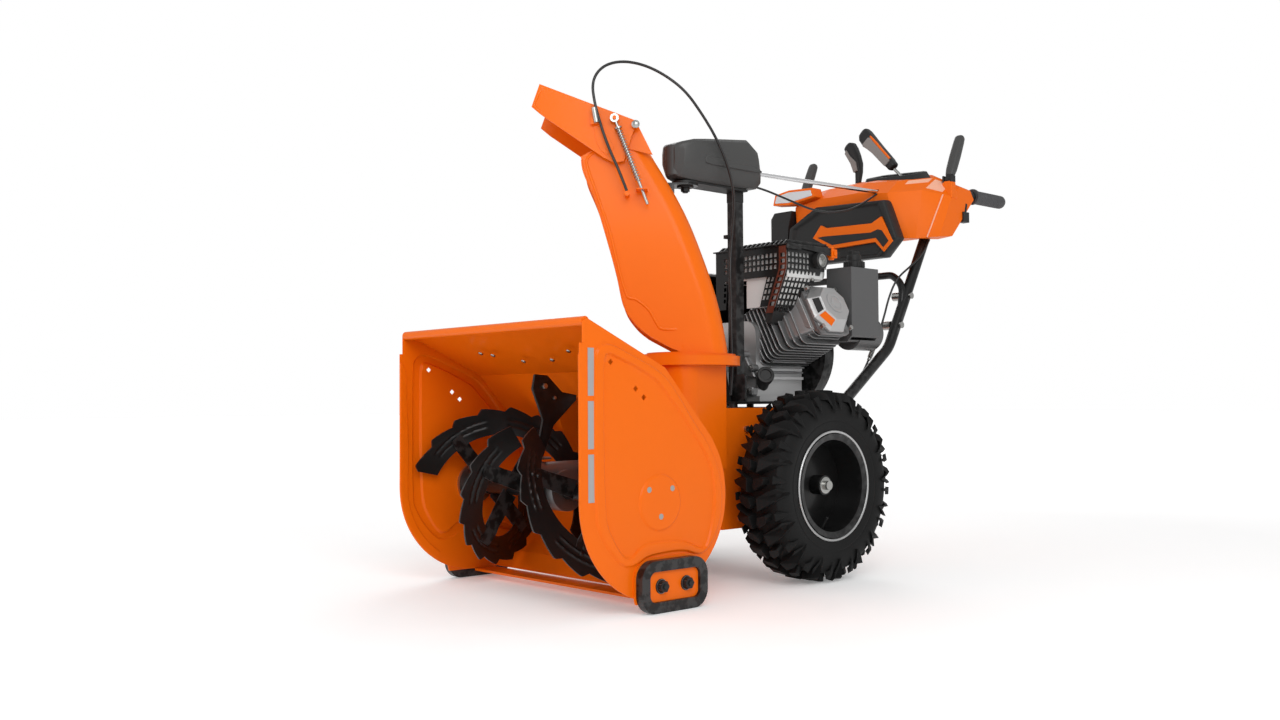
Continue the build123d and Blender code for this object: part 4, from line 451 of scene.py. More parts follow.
def coil(start, end, radius, wire, turns, segments=14):
    """A coil spring between two points."""
    a, b = Vector(start), Vector(end)
    place = Matrix.Translation(a) @ turning_frame(b - a)
    length = (b - a).length
    steps = int(turns * segments)
    line = []
    for i in range(steps + 1):
        share = i / steps
        turn = math.tau * turns * share
        line.append(place @ Vector((radius * math.cos(turn), radius * math.sin(turn),
                                    wire + share * (length - 2 * wire))))
    return strand(line, wire, 8)


def rounded_square(count, power, start=0.0):
    """Points (across, deep) of a soft square of half width 1; power 1 gives a circle."""
    points = []
    for k in range(count):
        turn = math.tau * k / count + start
        c, s = math.cos(turn), math.sin(turn)
        points.append((math.copysign(abs(c) ** power, c), math.copysign(abs(s) ** power, s)))
    return points


def across_frame(start, end):
    """Directions along a line that lies in the machine's cross plane, and sideways from it in that plane."""
    along = (Vector(end) - Vector(start)).normalized()
    return along, along.cross(Vector((0, 1, 0))).normalized()


def side_pair(shape):
    """The left-hand shape and its right-hand twin, each with its side's name."""
    return ("left", shape), ("right", mirrored(shape))


def piece(name, shape, finish, body, stands_for=(), edge=0.0, crease=32.0):
    """One finished piece of the machine: mesh, softened edges, finish, and the body it rides on."""
    mesh = bpy.data.meshes.new(name)
    mesh.from_pydata([at(p) for p in shape[0]], [], shape[1])
    work = bmesh.new()
    work.from_mesh(mesh)
    bmesh.ops.remove_doubles(work, verts=work.verts, dist=0.00001)
    bmesh.ops.recalc_face_normals(work, faces=work.faces)
    work.to_mesh(mesh)
    work.free()
    mesh.shade_smooth()
    mesh.set_sharp_from_angle(angle=math.radians(crease))
    made = bpy.data.objects.new(name, mesh)
    bpy.context.scene.collection.objects.link(made)
    mesh.materials.append(finishes[finish])
    if edge:
        soften_edges(made, edge, crease)
    even_normals(made)
    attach(made, body)
    for node in stands_for:
        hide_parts(node)
    return made

# ---- auger housing: end plates ----
PLATE_X = 305.0                     # outer face of an end plate
PLATE_MIDDLE = (-512.0, 275.0)      # the plate's loops are laid out round this point, (y, z)
RIDGE_OUTSIDE = [(-658, 178), (-658, 405), (-657, 466), (-654, 480), (-640, 491), (-621, 493), (-566, 472), (-494, 443),
                 (-456, 405), (-414, 352), (-365, 298), (-340, 244), (-334, 190), (-348, 138), (-374, 105), (-392, 95),
                 (-411, 97), (-444, 108), (-535, 104), (-558, 91), (-578, 87), (-597, 91), (-629, 123), (-650, 157)]
RIDGE_INSIDE = [(-632, 176), (-636, 282), (-637, 446), (-635, 467), (-627, 473), (-616, 472), (-555, 449), (-509, 426),
                (-501, 420), (-451, 370), (-402, 313), (-365, 263), (-357, 205), (-363, 161), (-381, 105), (-402, 109),
                (-447, 128), (-541, 130), (-569, 105), (-586, 104), (-602, 120), (-624, 155)]
RIDGE_STEPS = [(1.5, 0.0), (-0.5, 1.8), (-2.5, 4.2), (-4.5, 5.2)]      # (outwards from the line, height)
TOOL_HOLES = [(-618, 459), (-558, 411), (-538, 395)]
BEARING_BOSS = (-500.0, 200.0)
BOSS_STEPS = [(54.0, 0.0), (52.3, 1.2), (50.2, 3.0), (47.8, 3.8)]
BOSS_POINTS = 60
SHEET = 3.0


def arc(middle, radius, start, end, steps):
    turns = [math.radians(start + (end - start) * i / steps) for i in range(steps + 1)]
    return [(middle[0] + radius * math.cos(t), middle[1] + radius * math.sin(t)) for t in turns]


def housing_outline():
    """Side outline of the auger housing, (y, z)."""
    middle = (-500.0, 208.0)
    outline = [(-690, 492)] + arc(middle, 190, 180, 270, 30)
    outline += arc(middle, 177, -62, 42.7, 36) + [(-483, 451), (-671, 536), (-677, 535), (-683, 531), (-683, 492)]
    outline.insert(32, (-446.9, 18))
    return outline


def softened(loop, rounds=2):
    """Corner-cut copy of a closed loop."""
    for _ in range(rounds):
        cut = []
        for here, there in zip(loop, loop[1:] + loop[:1]):
            for share in (0.25, 0.75):
                cut.append((here[0] + (there[0] - here[0]) * share, here[1] + (there[1] - here[1]) * share))
        loop = cut
    return loop


def reach(loop, turn):
    """How far a loop lies from the plate's middle in one direction."""
    dy, dz = math.cos(turn), math.sin(turn)
    best = 0.0
    for (y1, z1), (y2, z2) in zip(loop, loop[1:] + loop[:1]):
        a, b, ey, ez = y1 - PLATE_MIDDLE[0], z1 - PLATE_MIDDLE[1], y2 - y1, z2 - z1
        cross = dy * ez - dz * ey
        if abs(cross) < 1e-9:
            continue
        along, share = (a * ez - b * ey) / cross, (a * dz - b * dy) / cross
        if -1e-6 <= share <= 1 + 1e-6 and along > best:
            best = along
    return best


def plate_spot(x, far, turn):
    """A point so far from the plate's middle in one direction."""
    return (x, PLATE_MIDDLE[0] + far * math.cos(turn), PLATE_MIDDLE[1] + far * math.sin(turn))


def plate_ring(reaches, turns, out, x):
    return [plate_spot(x, far + out, turn) for far, turn in zip(reaches, turns)]


def filled(loops, x):
    """A flat sheet at x inside the first loop and outside the others."""
    work = bmesh.new()
    edges = []
    for loop in loops:
        corners = [work.verts.new((x, y, z)) for y, z in loop]
        edges += [work.edges.new((a, b)) for a, b in zip(corners, corners[1:] + corners[:1])]
    bmesh.ops.triangle_fill(work, use_beauty=True, use_dissolve=False, edges=edges, normal=(1, 0, 0))
    work.verts.index_update()
    shape = [tuple(v.co) for v in work.verts], [tuple(v.index for v in face.verts) for face in work.faces]
    work.free()
    return shape


def diamond(middle, half=6.4):
    y, z = middle
    return [(y - half, z), (y, z - half), (y + half, z), (y, z + half)]


def boss_circle(radius):
    return arc(BEARING_BOSS, radius, 0, 354, BOSS_POINTS - 1)


def pressed_plate():
    """Left end plate: a sheet with a raised ridge round its middle and a raised disc over the bearing."""
    outline = housing_outline()
    corners = [math.atan2(z - PLATE_MIDDLE[1], y - PLATE_MIDDLE[0]) % math.tau for y, z in outline]
    turns = sorted(set(round(t, 4) for t in corners + [math.tau * i / 300 for i in range(300)]))
    edge = [reach(outline, t) for t in turns]
    outside = [reach(softened(RIDGE_OUTSIDE), t) for t in turns]
    inside = [reach(softened(RIDGE_INSIDE), t) for t in turns]
    sheets = []
    for lift in (0.0, -SHEET):
        rings = [plate_ring(edge, turns, 0.0, PLATE_X + lift + (-1.8 if lift == 0 else 0.8)),
                 plate_ring(edge, turns, -0.5, PLATE_X + lift + (-0.5 if lift == 0 else 0.1)),
                 plate_ring(edge, turns, -2.0, PLATE_X + lift)]
        rings += [plate_ring(outside, turns, out, PLATE_X + lift + up) for out, up in RIDGE_STEPS]
        rings += [plate_ring(inside, turns, -out, PLATE_X + lift + up) for out, up in reversed(RIDGE_STEPS)]
        sheets.append(skin(rings, caps=False))
        boss = boss_circle(BOSS_STEPS[0][0])
        loops = [[(y, z) for x, y, z in rings[-1]]] + [diamond(hole) for hole in TOOL_HOLES]
        sheets.append(filled(loops + ([boss] if lift == 0 else []), PLATE_X + lift))
    disc = [[(PLATE_X + up, y, z) for y, z in boss_circle(r)] for r, up in BOSS_STEPS]
    disc_face = skin(disc, caps=False)
    disc_face[1].append(tuple(range((len(BOSS_STEPS) - 1) * BOSS_POINTS, len(BOSS_STEPS) * BOSS_POINTS)))
    rim = skin([plate_ring(edge, turns, 0.0, PLATE_X - 1.8), plate_ring(edge, turns, 0.0, PLATE_X - SHEET + 0.8)],
               caps=False)
    walls = [skin([[(x, y, z) for y, z in diamond(hole)] for x in (PLATE_X, PLATE_X - SHEET)], caps=False)
             for hole in TOOL_HOLES]
    return join(*sheets, disc_face, rim, front_hem(edge, turns), *walls)


def front_hem(edge, turns):
    """The plate's front edge folded back inside itself."""
    first = math.atan2(492 - 12 - PLATE_MIDDLE[1], -690 - PLATE_MIDDLE[0]) % math.tau
    last = math.atan2(48 - PLATE_MIDDLE[1], -595 - PLATE_MIDDLE[0]) % math.tau
    low = PLATE_X - 2 * SHEET
    profile = [(-0.4, low + SHEET), (-0.3, low + 1), (-1.2, low), (-18.6, low), (-20.0, low + 1.2),
               (-20.0, low + SHEET)]
    return skin([[plate_spot(x, far + out, turn) for out, x in profile]
                 for far, turn in zip(edge, turns) if first <= turn <= last])


def make_end_plates():
    plate = pressed_plate()
    piece("end_plate_left", plate, "orange_paint", "chassis", ["side_plate_left"], crease=50)
    piece("end_plate_right", mirrored(plate), "orange_paint", "chassis", ["side_plate_right"], crease=50)

# ---- augers ----
AUGER_AXIS = (-500.0, 208.0)        # (y, z)
RIBBON_INSIDE_R = 110.0
RIBBON_OUTSIDE_R = 170.0
RIBBON_FROM_X = 39.0
RIBBON_TO_X = 286.0
RIBBON_SWEEP = math.radians(0.62 * 360)
TEETH = 11                          # teeth along one ribbon
TOOTH_CUT = 11.0
RIBBON_T = 4.0


def on_auger(x, radius, turn):
    return Vector((x, AUGER_AXIS[0] + radius * math.sin(turn), AUGER_AXIS[1] - radius * math.cos(turn)))


def tooth_edge(share):
    """Outer radius of a ribbon along its length: slow rises and short steps."""
    place = (share * TEETH) % 1.0
    rise = place / 0.82 if place < 0.82 else 1.0 - (place - 0.82) / 0.18
    return RIBBON_OUTSIDE_R - TOOTH_CUT * (1.0 - rise)


def ribbon_lift(share, radius):
    """Height of the pressed slots' rims in the middle of a ribbon."""
    lift = 0.0
    for start in (0.07, 0.40, 0.70):
        along = (share - start) / 0.23
        if 0.0 < along < 1.0:
            ends = min(1.0, along / 0.06, (1 - along) / 0.06)
            rim = max(0.0, 1 - abs(abs(radius - 136.0) - 6.5) / 3.2)
            lift = max(lift, 2.4 * rim * ends)
    return lift


def ribbon(phase):
    """One serrated helical ribbon with pressed slots."""
    steps, across_steps = 220, 24
    rings = []
    for i in range(steps + 1):
        share = i / steps
        turn = phase + RIBBON_SWEEP * share
        x = RIBBON_FROM_X + (RIBBON_TO_X - RIBBON_FROM_X) * share
        outside = tooth_edge(share)
        front, back = [], []
        for k in range(across_steps + 1):
            across = k / across_steps
            radius = RIBBON_INSIDE_R + (outside - RIBBON_INSIDE_R) * across
            lift = ribbon_lift(share, radius)
            front.append(on_auger(x + RIBBON_T / 2 + lift, radius, turn))
            back.append(on_auger(x - RIBBON_T / 2 + lift, radius, turn))
        rings.append([tuple(p) for p in front + back[::-1]])
    return skin(rings)


def ribbon_arm(phase, share):
    """Flat pressed arm from the auger's tube out to a ribbon, with its two rivets."""
    turn = phase + RIBBON_SWEEP * share
    x = RIBBON_FROM_X + (RIBBON_TO_X - RIBBON_FROM_X) * share
    rings = []
    for radius, half, lift in ((17, 19, 0), (40, 18, 1.5), (92, 16, 1.5), (110, 17, 0), (138, 13, 0)):
        spin = math.atan2(half, radius)
        rings.append([tuple(on_auger(x - 6.6 + thick, math.hypot(radius, half), turn + side * spin))
                      for thick, side in ((-1.6 + lift, -1), (-1.6 + lift, 1), (1.6 + lift, 1), (1.6 + lift, -1))])
    rivets = [lathe([(5.4, 0), (5.0, 0.8), (3.4, 2.6), (0.2, 3.2)], on_auger(x + 1.8, radius, turn), (1, 0, 0), 16)
              for radius in (118, 131)]
    return join(skin(rings), *rivets)


def auger_shape():
    """Left auger: tube with a set-screw collar, and ribbons on flat arms."""
    tube = lathe([(12.6, 0), (19, 0), (19, 8), (19, 200), (22, 202), (22, 226), (19, 228), (19, 249), (12.6, 249)],
                 (37, *AUGER_AXIS), (1, 0, 0), 40)
    parts = [tube]
    for start in (0, 1):
        phase = math.radians(start * 180 + 35)
        parts.append(ribbon(phase))
        parts += [ribbon_arm(phase, share) for share in (1 / 6, 0.5, 5 / 6)]
    return join(*parts)


def make_augers():
    shape = auger_shape()
    piece("auger_ribbons_left", shape, "black_paint", "auger_group", ["auger_left"], crease=40)
    piece("auger_ribbons_right", mirrored(shape), "black_paint", "auger_group", ["auger_right"], crease=40)

# ---- wheels ----
WHEEL_AXIS = (0.0, 205.0)           # (y, z)
TYRE_MIDDLE_X = 262.0
LUG_PAIRS = 16


def on_wheel(x, radius, turn):
    return (x, WHEEL_AXIS[0] + radius * math.sin(turn), WHEEL_AXIS[1] + radius * math.cos(turn))


def carcass():
    """Smooth tyre body with its rings, from bead to bead."""
    half = [(-46, 101), (-47.5, 104), (-48.5, 111), (-50.5, 113), (-52.5, 116), (-54.5, 124), (-56, 133), (-56.6, 137),
            (-55.8, 139), (-57.2, 142), (-58.4, 152), (-58, 164), (-55.5, 174), (-49, 182), (-36, 186.5), (-18, 187.5)]
    profile = half + [(0, 187.7)] + [(-x, r) for x, r in reversed(half)] + [(40, 101), (0, 100), (-40, 101)]
    rings = [[on_wheel(TYRE_MIDDLE_X + x, r, math.tau * i / 128) for x, r in profile] for i in range(128)]
    points, faces = skin(rings, caps=False)
    count = len(profile)
    last = (len(rings) - 1) * count
    faces += [(last + i, last + (i + 1) % count, (i + 1) % count, i) for i in range(count)]
    return points, faces


def lug(outline, turn, side):
    """A tread block: an outline of (x from the tyre's middle, degrees round, top radius), with sloping walls."""
    top, foot = [], []
    middle_x = sum(p[0] for p in outline) / len(outline)
    middle_turn = sum(p[1] for p in outline) / len(outline)
    for x, degrees, radius in outline:
        foot_x = x + (x - middle_x) * 0.1
        foot_turn = degrees + (degrees - middle_turn) * 0.14
        top.append(on_wheel(TYRE_MIDDLE_X + side * x, radius, turn + math.radians(degrees)))
        foot.append(on_wheel(TYRE_MIDDLE_X + side * foot_x, min(radius - 2, 184 if radius > 190 else radius - 9),
                             turn + math.radians(foot_turn)))
    return skin([foot, top])


SHOULDER_LUG = [(12, -1.5, 204.8), (44, 3.0, 204.0), (54, 5.0, 196.0), (61.0, 6.8, 178.0), (61.4, 8.4, 160.0),
                (61.0, 10.6, 176.0), (54, 12.0, 196.0), (43, 10.5, 204.0), (13, 6.5, 204.8)]
SHOULDER_SPIKE = [(51, 15.0, 197.0), (58, 15.6, 186.0), (61.2, 16.8, 166.0), (58, 18.8, 186.0), (51, 20.0, 197.0)]
MIDDLE_BLOCK = [(3, -9.5, 205.0), (9, -11.5, 205.0), (30, -8.0, 204.6), (34, -5.0, 204.4), (30, -3.6, 204.6),
                (8, -5.2, 205.0)]


def tyre_shape():
    parts = [carcass()]
    for i in range(LUG_PAIRS):
        for side in (-1, 1):
            turn = math.tau * (i + (0.5 if side > 0 else 0.0)) / LUG_PAIRS
            parts += [lug(outline, turn, side) for outline in (SHOULDER_LUG, SHOULDER_SPIKE, MIDDLE_BLOCK)]
    return join(*parts)


def make_wheels():
    tyre = tyre_shape()
    valve = lathe([(3.4, 0), (3.6, 2), (3.0, 12), (2.4, 14), (2.4, 20), (3.1, 21), (3.1, 28), (2.2, 29)],
                  on_wheel(TYRE_MIDDLE_X + 18, 92, math.pi), (0.55, 0, 0.83), 16)
    washer = lathe([(7.5, 0), (17, 0), (18, 1), (18, 2.2), (17, 3), (7.5, 3)], (290.4, *WHEEL_AXIS), (1, 0, 0), 32)
    bead_ring = lathe([(112, 0), (115.5, 0.6), (117.6, 2.0), (118, 3.6), (116.5, 5.0), (114, 4.6), (112.5, 3)],
                      (TYRE_MIDDLE_X + 51, *WHEEL_AXIS), (1, 0, 0), 96)
    for side, turned in (("left", lambda s: s), ("right", mirrored)):
        body = "wheel_" + side
        piece("tyre_" + side + "_tread", turned(tyre), "tyre_rubber", body, ["tyre_" + side], edge=0.7, crease=28)
        piece("hub_washer_" + side, turned(washer), "zinc_steel", body, crease=40)
        piece("bead_ring_" + side, turned(bead_ring), "bright_alloy", body, crease=40)
        piece("valve_" + side, turned(valve), "dark_plastic", body, crease=40)

# ---- chute and deflector hood ----
CHUTE_AXIS = (90.0, -217.0)
CHUTE_TURN = math.radians(-43.0)
CHEEK_LINE = [(192, 913), (208, 897), (205, 873), (186, 818), (162, 747), (142, 664), (127, 612), (119, 604),
              (105, 600), (80, 579), (64, 551), (53, 539), (20, 538)]             # (ahead, z), as are the next two
FRONT_EDGE = [(219, 896), (214, 868), (189, 806), (161, 710), (145, 648), (131, 586), (106, 548), (79, 525)]
HOOD_EDGE = [(301, 1047), (316, 1016), (316, 1006), (304, 994)]
CHUTE_CHEEK = 85.0                  # outer faces of the chute's and the hood's cheeks, from the middle
HOOD_CHEEK = 100.3


def in_chute(across, ahead, z):
    """A point given across, ahead of and above the chute's own turning axis."""
    cosine, sine = math.cos(CHUTE_TURN), math.sin(CHUTE_TURN)
    return Vector((CHUTE_AXIS[0] + across * cosine + ahead * sine, CHUTE_AXIS[1] + across * sine - ahead * cosine, z))


def smooth_line(points, steps=6):
    """Points on a smooth curve through the given ones."""
    line = []
    spots = [Vector(p) for p in points]
    for i in range(len(spots) - 1):
        a, b, c, d = spots[max(i - 1, 0)], spots[i], spots[i + 1], spots[min(i + 2, len(spots) - 1)]
        for k in range(steps):
            t = k / steps
            line.append(0.5 * ((2 * b) + (c - a) * t + (2 * a - 5 * b + 4 * c - d) * t * t
                               + (3 * b - a - 3 * c + d) * t ** 3))
    return line + [spots[-1]]


def bead(line, outwards, width, height):
    """Low half-round bead along a line on a flat face."""
    rings = []
    out = Vector(outwards).normalized()
    for i, spot in enumerate(line):
        ahead = (line[min(i + 1, len(line) - 1)] - line[max(i - 1, 0)]).normalized()
        side = ahead.cross(out).normalized()
        fade = min(1.0, i / 3, (len(line) - 1 - i) / 3)
        rings.append([tuple(spot + side * (width * 0.5 * math.cos(turn)) + out * (height * fade * math.sin(turn) - 0.3))
                      for turn in (math.pi * k / 6 for k in range(7))])
    return skin(rings)


def outwards(side):
    """Direction out of the chute's left (1) or right (-1) cheek."""
    return in_chute(side, 0, 0) - in_chute(0, 0, 0)


def cheek_curve(side, across, line):
    return smooth_line([in_chute(side * across, s, z) for s, z in line])


def cheek_beads(across, line, width, height):
    return join(*[bead(cheek_curve(side, across, line), outwards(side), width, height) for side in (-1, 1)])


def chute_details():
    piece("chute_cheek_beads", cheek_beads(CHUTE_CHEEK, CHEEK_LINE, 6.5, 2.4), "orange_paint", "chute_group", crease=60)
    hems = [strand(cheek_curve(side, CHUTE_CHEEK, FRONT_EDGE), 1.9, 8) for side in (-1, 1)]
    piece("chute_front_hems", join(*hems), "orange_paint", "chute_group", crease=60)


def hood_details():
    def plate(outline, across, thick):
        return skin([[tuple(in_chute(across, s, z)) for s, z in outline],
                     [tuple(in_chute(across + thick, s, z)) for s, z in outline]])
    cable_plate = plate([(195, 973), (180, 981), (172, 960), (150, 918), (166, 902), (178, 912), (187, 930)],
                        100.2, 1.6)
    bolts = [rod(in_chute(100, s, z), in_chute(102.4, s, z), 5, 6) for s, z in ((181, 966), (164, 916))]
    piece("hood_cable_plate", join(cable_plate, *bolts), "orange_paint", "deflector_group", edge=0.5)
    ferrule = rod(in_chute(113.3, 186, 968), in_chute(113.3, 192, 1000), 5.4, 16)
    piece("hood_cable_ferrule", ferrule, "zinc_steel", "deflector_group", edge=0.5)
    piece("hood_front_beads", cheek_beads(HOOD_CHEEK, HOOD_EDGE, 6, 1.8), "orange_paint", "deflector_group", crease=60)
    hinge = [lathe([(0.2, 0), (8, 0), (8.5, 1), (8.5, 4), (6, 6), (0.2, 6.4)], in_chute(side * 106.5, 105, 965),
                   outwards(side), 24) for side in (-1, 1)]
    piece("hood_hinge_nuts", join(*hinge), "zinc_steel", "chute_group", crease=40)


# ---- springs and cables ----
DRIVE_CABLE = [(208, 524, 789), (206, 500, 754), (198, 462, 721), (178, 426, 688), (168, 406, 640), (166, 388, 590),
               (165, 361, 538), (163, 330, 486), (160, 298, 440), (155, 262, 408), (149, 224, 384)]
HEAD_CABLE = [(76, -2, 884), (78, 44, 880), (84, 90, 870), (92, 138, 858), (98, 188, 846), (104, 240, 842),
              (108, 292, 848), (112, 340, 860), (116, 384, 880), (118, 430, 906)]
HOOD_CABLE_IN_CHUTE = [(113.3, 124, 825), (113.3, 140, 868), (113.3, 160, 912), (113.3, 176, 958), (113.3, 190, 1008),
                       (108.3, 196, 1056), (99.3, 176, 1090), (84, 138, 1106), (66, 92, 1104), (52, 46, 1086),
                       (46, 0, 1052)]
HOOD_CABLE_DOWN = [(138, -214, 1006), (150, -182, 956), (152, -150, 904), (144, -122, 854), (124, -100, 808),
                   (108, -90, 760), (106, -94, 706), (108, -98, 654), (107, -94, 602), (110, -98, 552), (109, -95, 502),
                   (113, -98, 450), (112, -103, 400)]


def cable(name, routes, radius, body, node):
    """Held cables on smooth curves through their routes."""
    curve = bpy.data.curves.new(name, "CURVE")
    curve.dimensions = "3D"
    curve.bevel_depth = radius / 1000
    curve.bevel_resolution = 5
    curve.resolution_u = 8
    curve.use_fill_caps = True
    for route in routes:
        spline = curve.splines.new("NURBS")
        spline.points.add(len(route) - 1)
        for point, place in zip(spline.points, route):
            point.co = (*at(place), 1.0)
        spline.order_u = 3
        spline.use_endpoint_u = True
    made = bpy.data.objects.new(name, curve)
    bpy.context.scene.collection.objects.link(made)
    curve.materials.append(finishes["cable_sheath"])
    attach(made, body)
    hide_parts(node)
    return made


def make_cables():
    flipped = [(-x, y, z) for x, y, z in DRIVE_CABLE]
    cable("drive_and_head_cables", [DRIVE_CABLE, flipped, HEAD_CABLE], 2.5, "chassis", "control_cables")
    cable("hood_cable", [[tuple(in_chute(*p)) for p in HOOD_CABLE_IN_CHUTE] + HOOD_CABLE_DOWN], 3.0, "chassis",
          "deflector_cable")
    springs = []
    for side in (-1, 1):
        a, b = [Vector((side * p[0], p[1], p[2])) for p in DRIVE_CABLE[6:8]]
        start, end = a + (b - a) * 0.06, a + (b - a) * 0.94
        springs.append(coil(start, end, 5.2, 0.9, 21))
        springs.append(rod(a - (b - a) * 0.05, a + (b - a) * 0.07, 4.4, 16))
        springs.append(rod(b - (b - a) * 0.07, b + (b - a) * 0.05, 4.4, 16))
    piece("drive_cable_springs", join(*springs), "zinc_steel", "chassis", crease=60)


def make_hood_spring():
    """Compression spring between the guide on the chute and the washer on the rod."""
    stud, guide = in_chute(110, 149, 978), in_chute(110, 93, 829)
    along = (guide - stud).normalized()
    top, bottom = stud + along * 25.0, stud + along * 142.0
    made = piece("hood_spring", coil(bottom, top, 5.6, 1.1, 20), "zinc_steel", "spring_rod_group", ["deflector_spring"],
                 crease=60)
    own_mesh(made)


# ---- skid shoes and housing hardware ----
SKID_FACE_X = 319.0
SKID_NUTS = [(-511, 48), (-447, 48)]            # (y, z)
ROOF_SCREWS = [(-35, -560), (60, -560), (-130, -600), (-100, -590), (150, -590)]        # (x, y)


def make_housing_hardware():
    screws = []
    for x, y in ROOF_SCREWS:
        under_roof = 531.0 + (y + 683.0) * (451.0 - 536.0) / 188.0 - 3.5
        screws.append(lathe([(0.2, 0), (5, 0), (5.5, 0.8), (4.8, 2.6), (2.4, 3.4), (0.2, 3.5)], (x, y, under_roof),
                            (0, -0.41, -0.91), 16))
    piece("roof_screws", join(*screws), "zinc_steel", "chassis", crease=40)
    brace = slab([(-560, 444), (-528, 442), (-490, 408), (-452, 402), (-452, 392), (-512, 340), (-540, 276),
                  (-556, 284), (-540, 352), (-566, 414)], (-3, 3))
    piece("gearbox_brace", brace, "black_paint", "chassis", edge=1.0)
    brace_bolt = join(rod((3, -538, 420), (10, -538, 420), 6, 6), rod((3, -512, 396), (8, -512, 396), 4, 6))
    piece("gearbox_brace_bolts", brace_bolt, "zinc_steel", "chassis", edge=0.5)
    nose = lathe([(0.2, 0), (12, 0), (12, -2), (17, -2), (17, 0), (23, 1.5), (25, 3.5), (25, 9), (22, 11), (14, 11),
                  (0.2, 11)], (0, -577, 246), (0, 1, 0), 40)
    piece("gearbox_nose_cap", nose, "bright_alloy", "chassis", crease=35)
    strap = join(box((-16, 16), (-556, -528), (272, 277)),
                 slab([(-566, 232), (-552, 232), (-530, 150), (-548, 152)], (-14, 14)))
    piece("gearbox_strap", strap, "cast_dark", "chassis", edge=2.0)
    nuts = []
    for s in (-1, 1):
        for y, z in SKID_NUTS:
            foot = (s * SKID_FACE_X, y, z)
            nuts.append(lathe([(0.2, -1), (14, -1), (14, 1.5), (12, 3), (0.2, 3.2)], foot, (s, 0, 0), 28))
            nuts.append(rod(foot, (s * (SKID_FACE_X + 11.5), y, z), 11.4, 6))
            nuts.append(rod(foot, (s * (SKID_FACE_X + 15), y, z), 5.2, 16))
    piece("skid_nuts", join(*nuts), "dark_plastic", "chassis", edge=0.6)


# ---- control panel ----
POD_FRONT_Y = 404.0
POD_PANEL = [(150, 843), (184, 779), (157, 754), (131, 781), (-4, 777), (-68, 811), (-41, 842), (-23, 833), (120, 829)]
POD_ARROW = [(140, 812), (152, 808), (172, 780), (156, 765), (134, 791), (-4, 787), (-52, 811), (-30, 812), (118, 806)]


def front_plate(outline, y):
    return skin([[(x, y[0], z) for x, z in outline], [(x, y[1], z) for x, z in outline]])


def make_panel_details():
    piece("pod_orange_inlay", front_plate(POD_PANEL, (POD_FRONT_Y - 1.0, POD_FRONT_Y + 8)), "orange_plastic", "chassis",
          edge=0.8)
    piece("pod_dark_inlay", front_plate(POD_ARROW, (POD_FRONT_Y - 1.8, POD_FRONT_Y - 0.5)), "dark_plastic", "chassis",
          edge=0.3)


def grip_shape():
    """Ribbed grip with a flange at its front and a closed, rounded end."""
    profile = [(13.4, 0), (19.5, 0), (20.5, 1.5), (20.5, 5), (17.6, 7), (16.2, 10)]
    start, pitch = 12.0, 8.4
    for i in range(13):
        place = start + i * pitch
        profile += [(15.6, place), (17.0, place + 1.2), (17.3, place + 3.4), (17.0, place + pitch - 2.2),
                    (15.6, place + pitch - 1.0)]
    profile += [(16.8, 122), (17.2, 126), (17.0, 133), (15.4, 137), (11, 138.8), (0.2, 139)]
    return lathe(profile, (240, 669, 909), (0, 1, 0), 40)


CLUTCH_PIVOT = (240, 566, 941)
CLUTCH_LEAN = math.radians(-25)
PADDLE_SECTIONS = [(12, 10.5, 8.6), (16, 11.4, 9.4), (30, 13.4, 10.8), (70, 13.6, 11.8), (112, 12.8, 11.0),
                   (124, 12.2, 10.0), (129, 9.8, 7.6), (131, 5.0, 4.0)]      # (distance, half width, half depth)
SOCKET_SECTIONS = [(-2, 6.0, 6.0), (3, 7.8, 7.8), (12, 8.6, 8.6), (23, 8.8, 8.8), (26, 8.6, 8.6)]


def on_clutch_lever(sections, power):
    """Softly rounded body round the leaning clutch lever's line, from its pivot."""
    rings = [[(wide * c, deep * s, d) for c, s in rounded_square(28, power)] for d, wide, deep in sections]
    return moved(skin(rings), Matrix.Translation(CLUTCH_PIVOT) @ Matrix.Rotation(CLUTCH_LEAN, 4, "X"))


def make_grips_and_levers():
    grip = grip_shape()
    paddle = on_clutch_lever(PADDLE_SECTIONS, 0.7)
    hub = rod((232.2, 566, 941), (247.8, 566, 941), 7.9, 24)
    socket = join(on_clutch_lever(SOCKET_SECTIONS, 0.6), hub)
    piece("ribbed_grips", join(grip, mirrored(grip)), "grip_rubber", "chassis", ["handle_grips"], crease=35)
    for (side, paddle_shape), (_, socket_shape) in zip(side_pair(paddle), side_pair(socket)):
        body = "clutch_" + side
        piece("clutch_paddle_" + side, paddle_shape, "grey_plastic", body, ["clutch_lever_" + side], crease=40)
        piece("clutch_socket_" + side, socket_shape, "dark_plastic", body, crease=40)

# ---- gear head on the post ----
HEAD_X = 90.0
HEAD_SECTIONS = [(-264, 17, 874, 936), (-252, 35, 868, 943), (-226, 49, 864, 950), (-190, 51.5, 863, 955),
                 (-64, 51.5, 863, 970), (-34, 50, 866, 950), (-12, 35, 868, 915), (-5, 28, 872, 893)]
HEAD_OUTLINE = [(0.55, 0.0), (0.68, 0.07), (0.84, 0.24), (1.0, 0.44), (1.0, 0.74), (0.92, 0.93), (0.76, 1.0)]


def gear_head():
    rings = []
    for y, half, low, top in HEAD_SECTIONS:
        side = [(HEAD_X + half * a, y, low + (top - low) * b) for a, b in HEAD_OUTLINE]
        rings.append(side + [(2 * HEAD_X - x, yy, z) for x, yy, z in reversed(side)])
    nose = lathe([(12, 0), (19, 0), (20, 2), (20, 62), (18.5, 65), (12, 65)], (HEAD_X, -249, 872), (0.0, 0.0, 1.0), 32)
    nose_bottom = rod((HEAD_X, -249, 884), (HEAD_X, -249, 930), 13)
    return join(skin(rings), nose, nose_bottom)


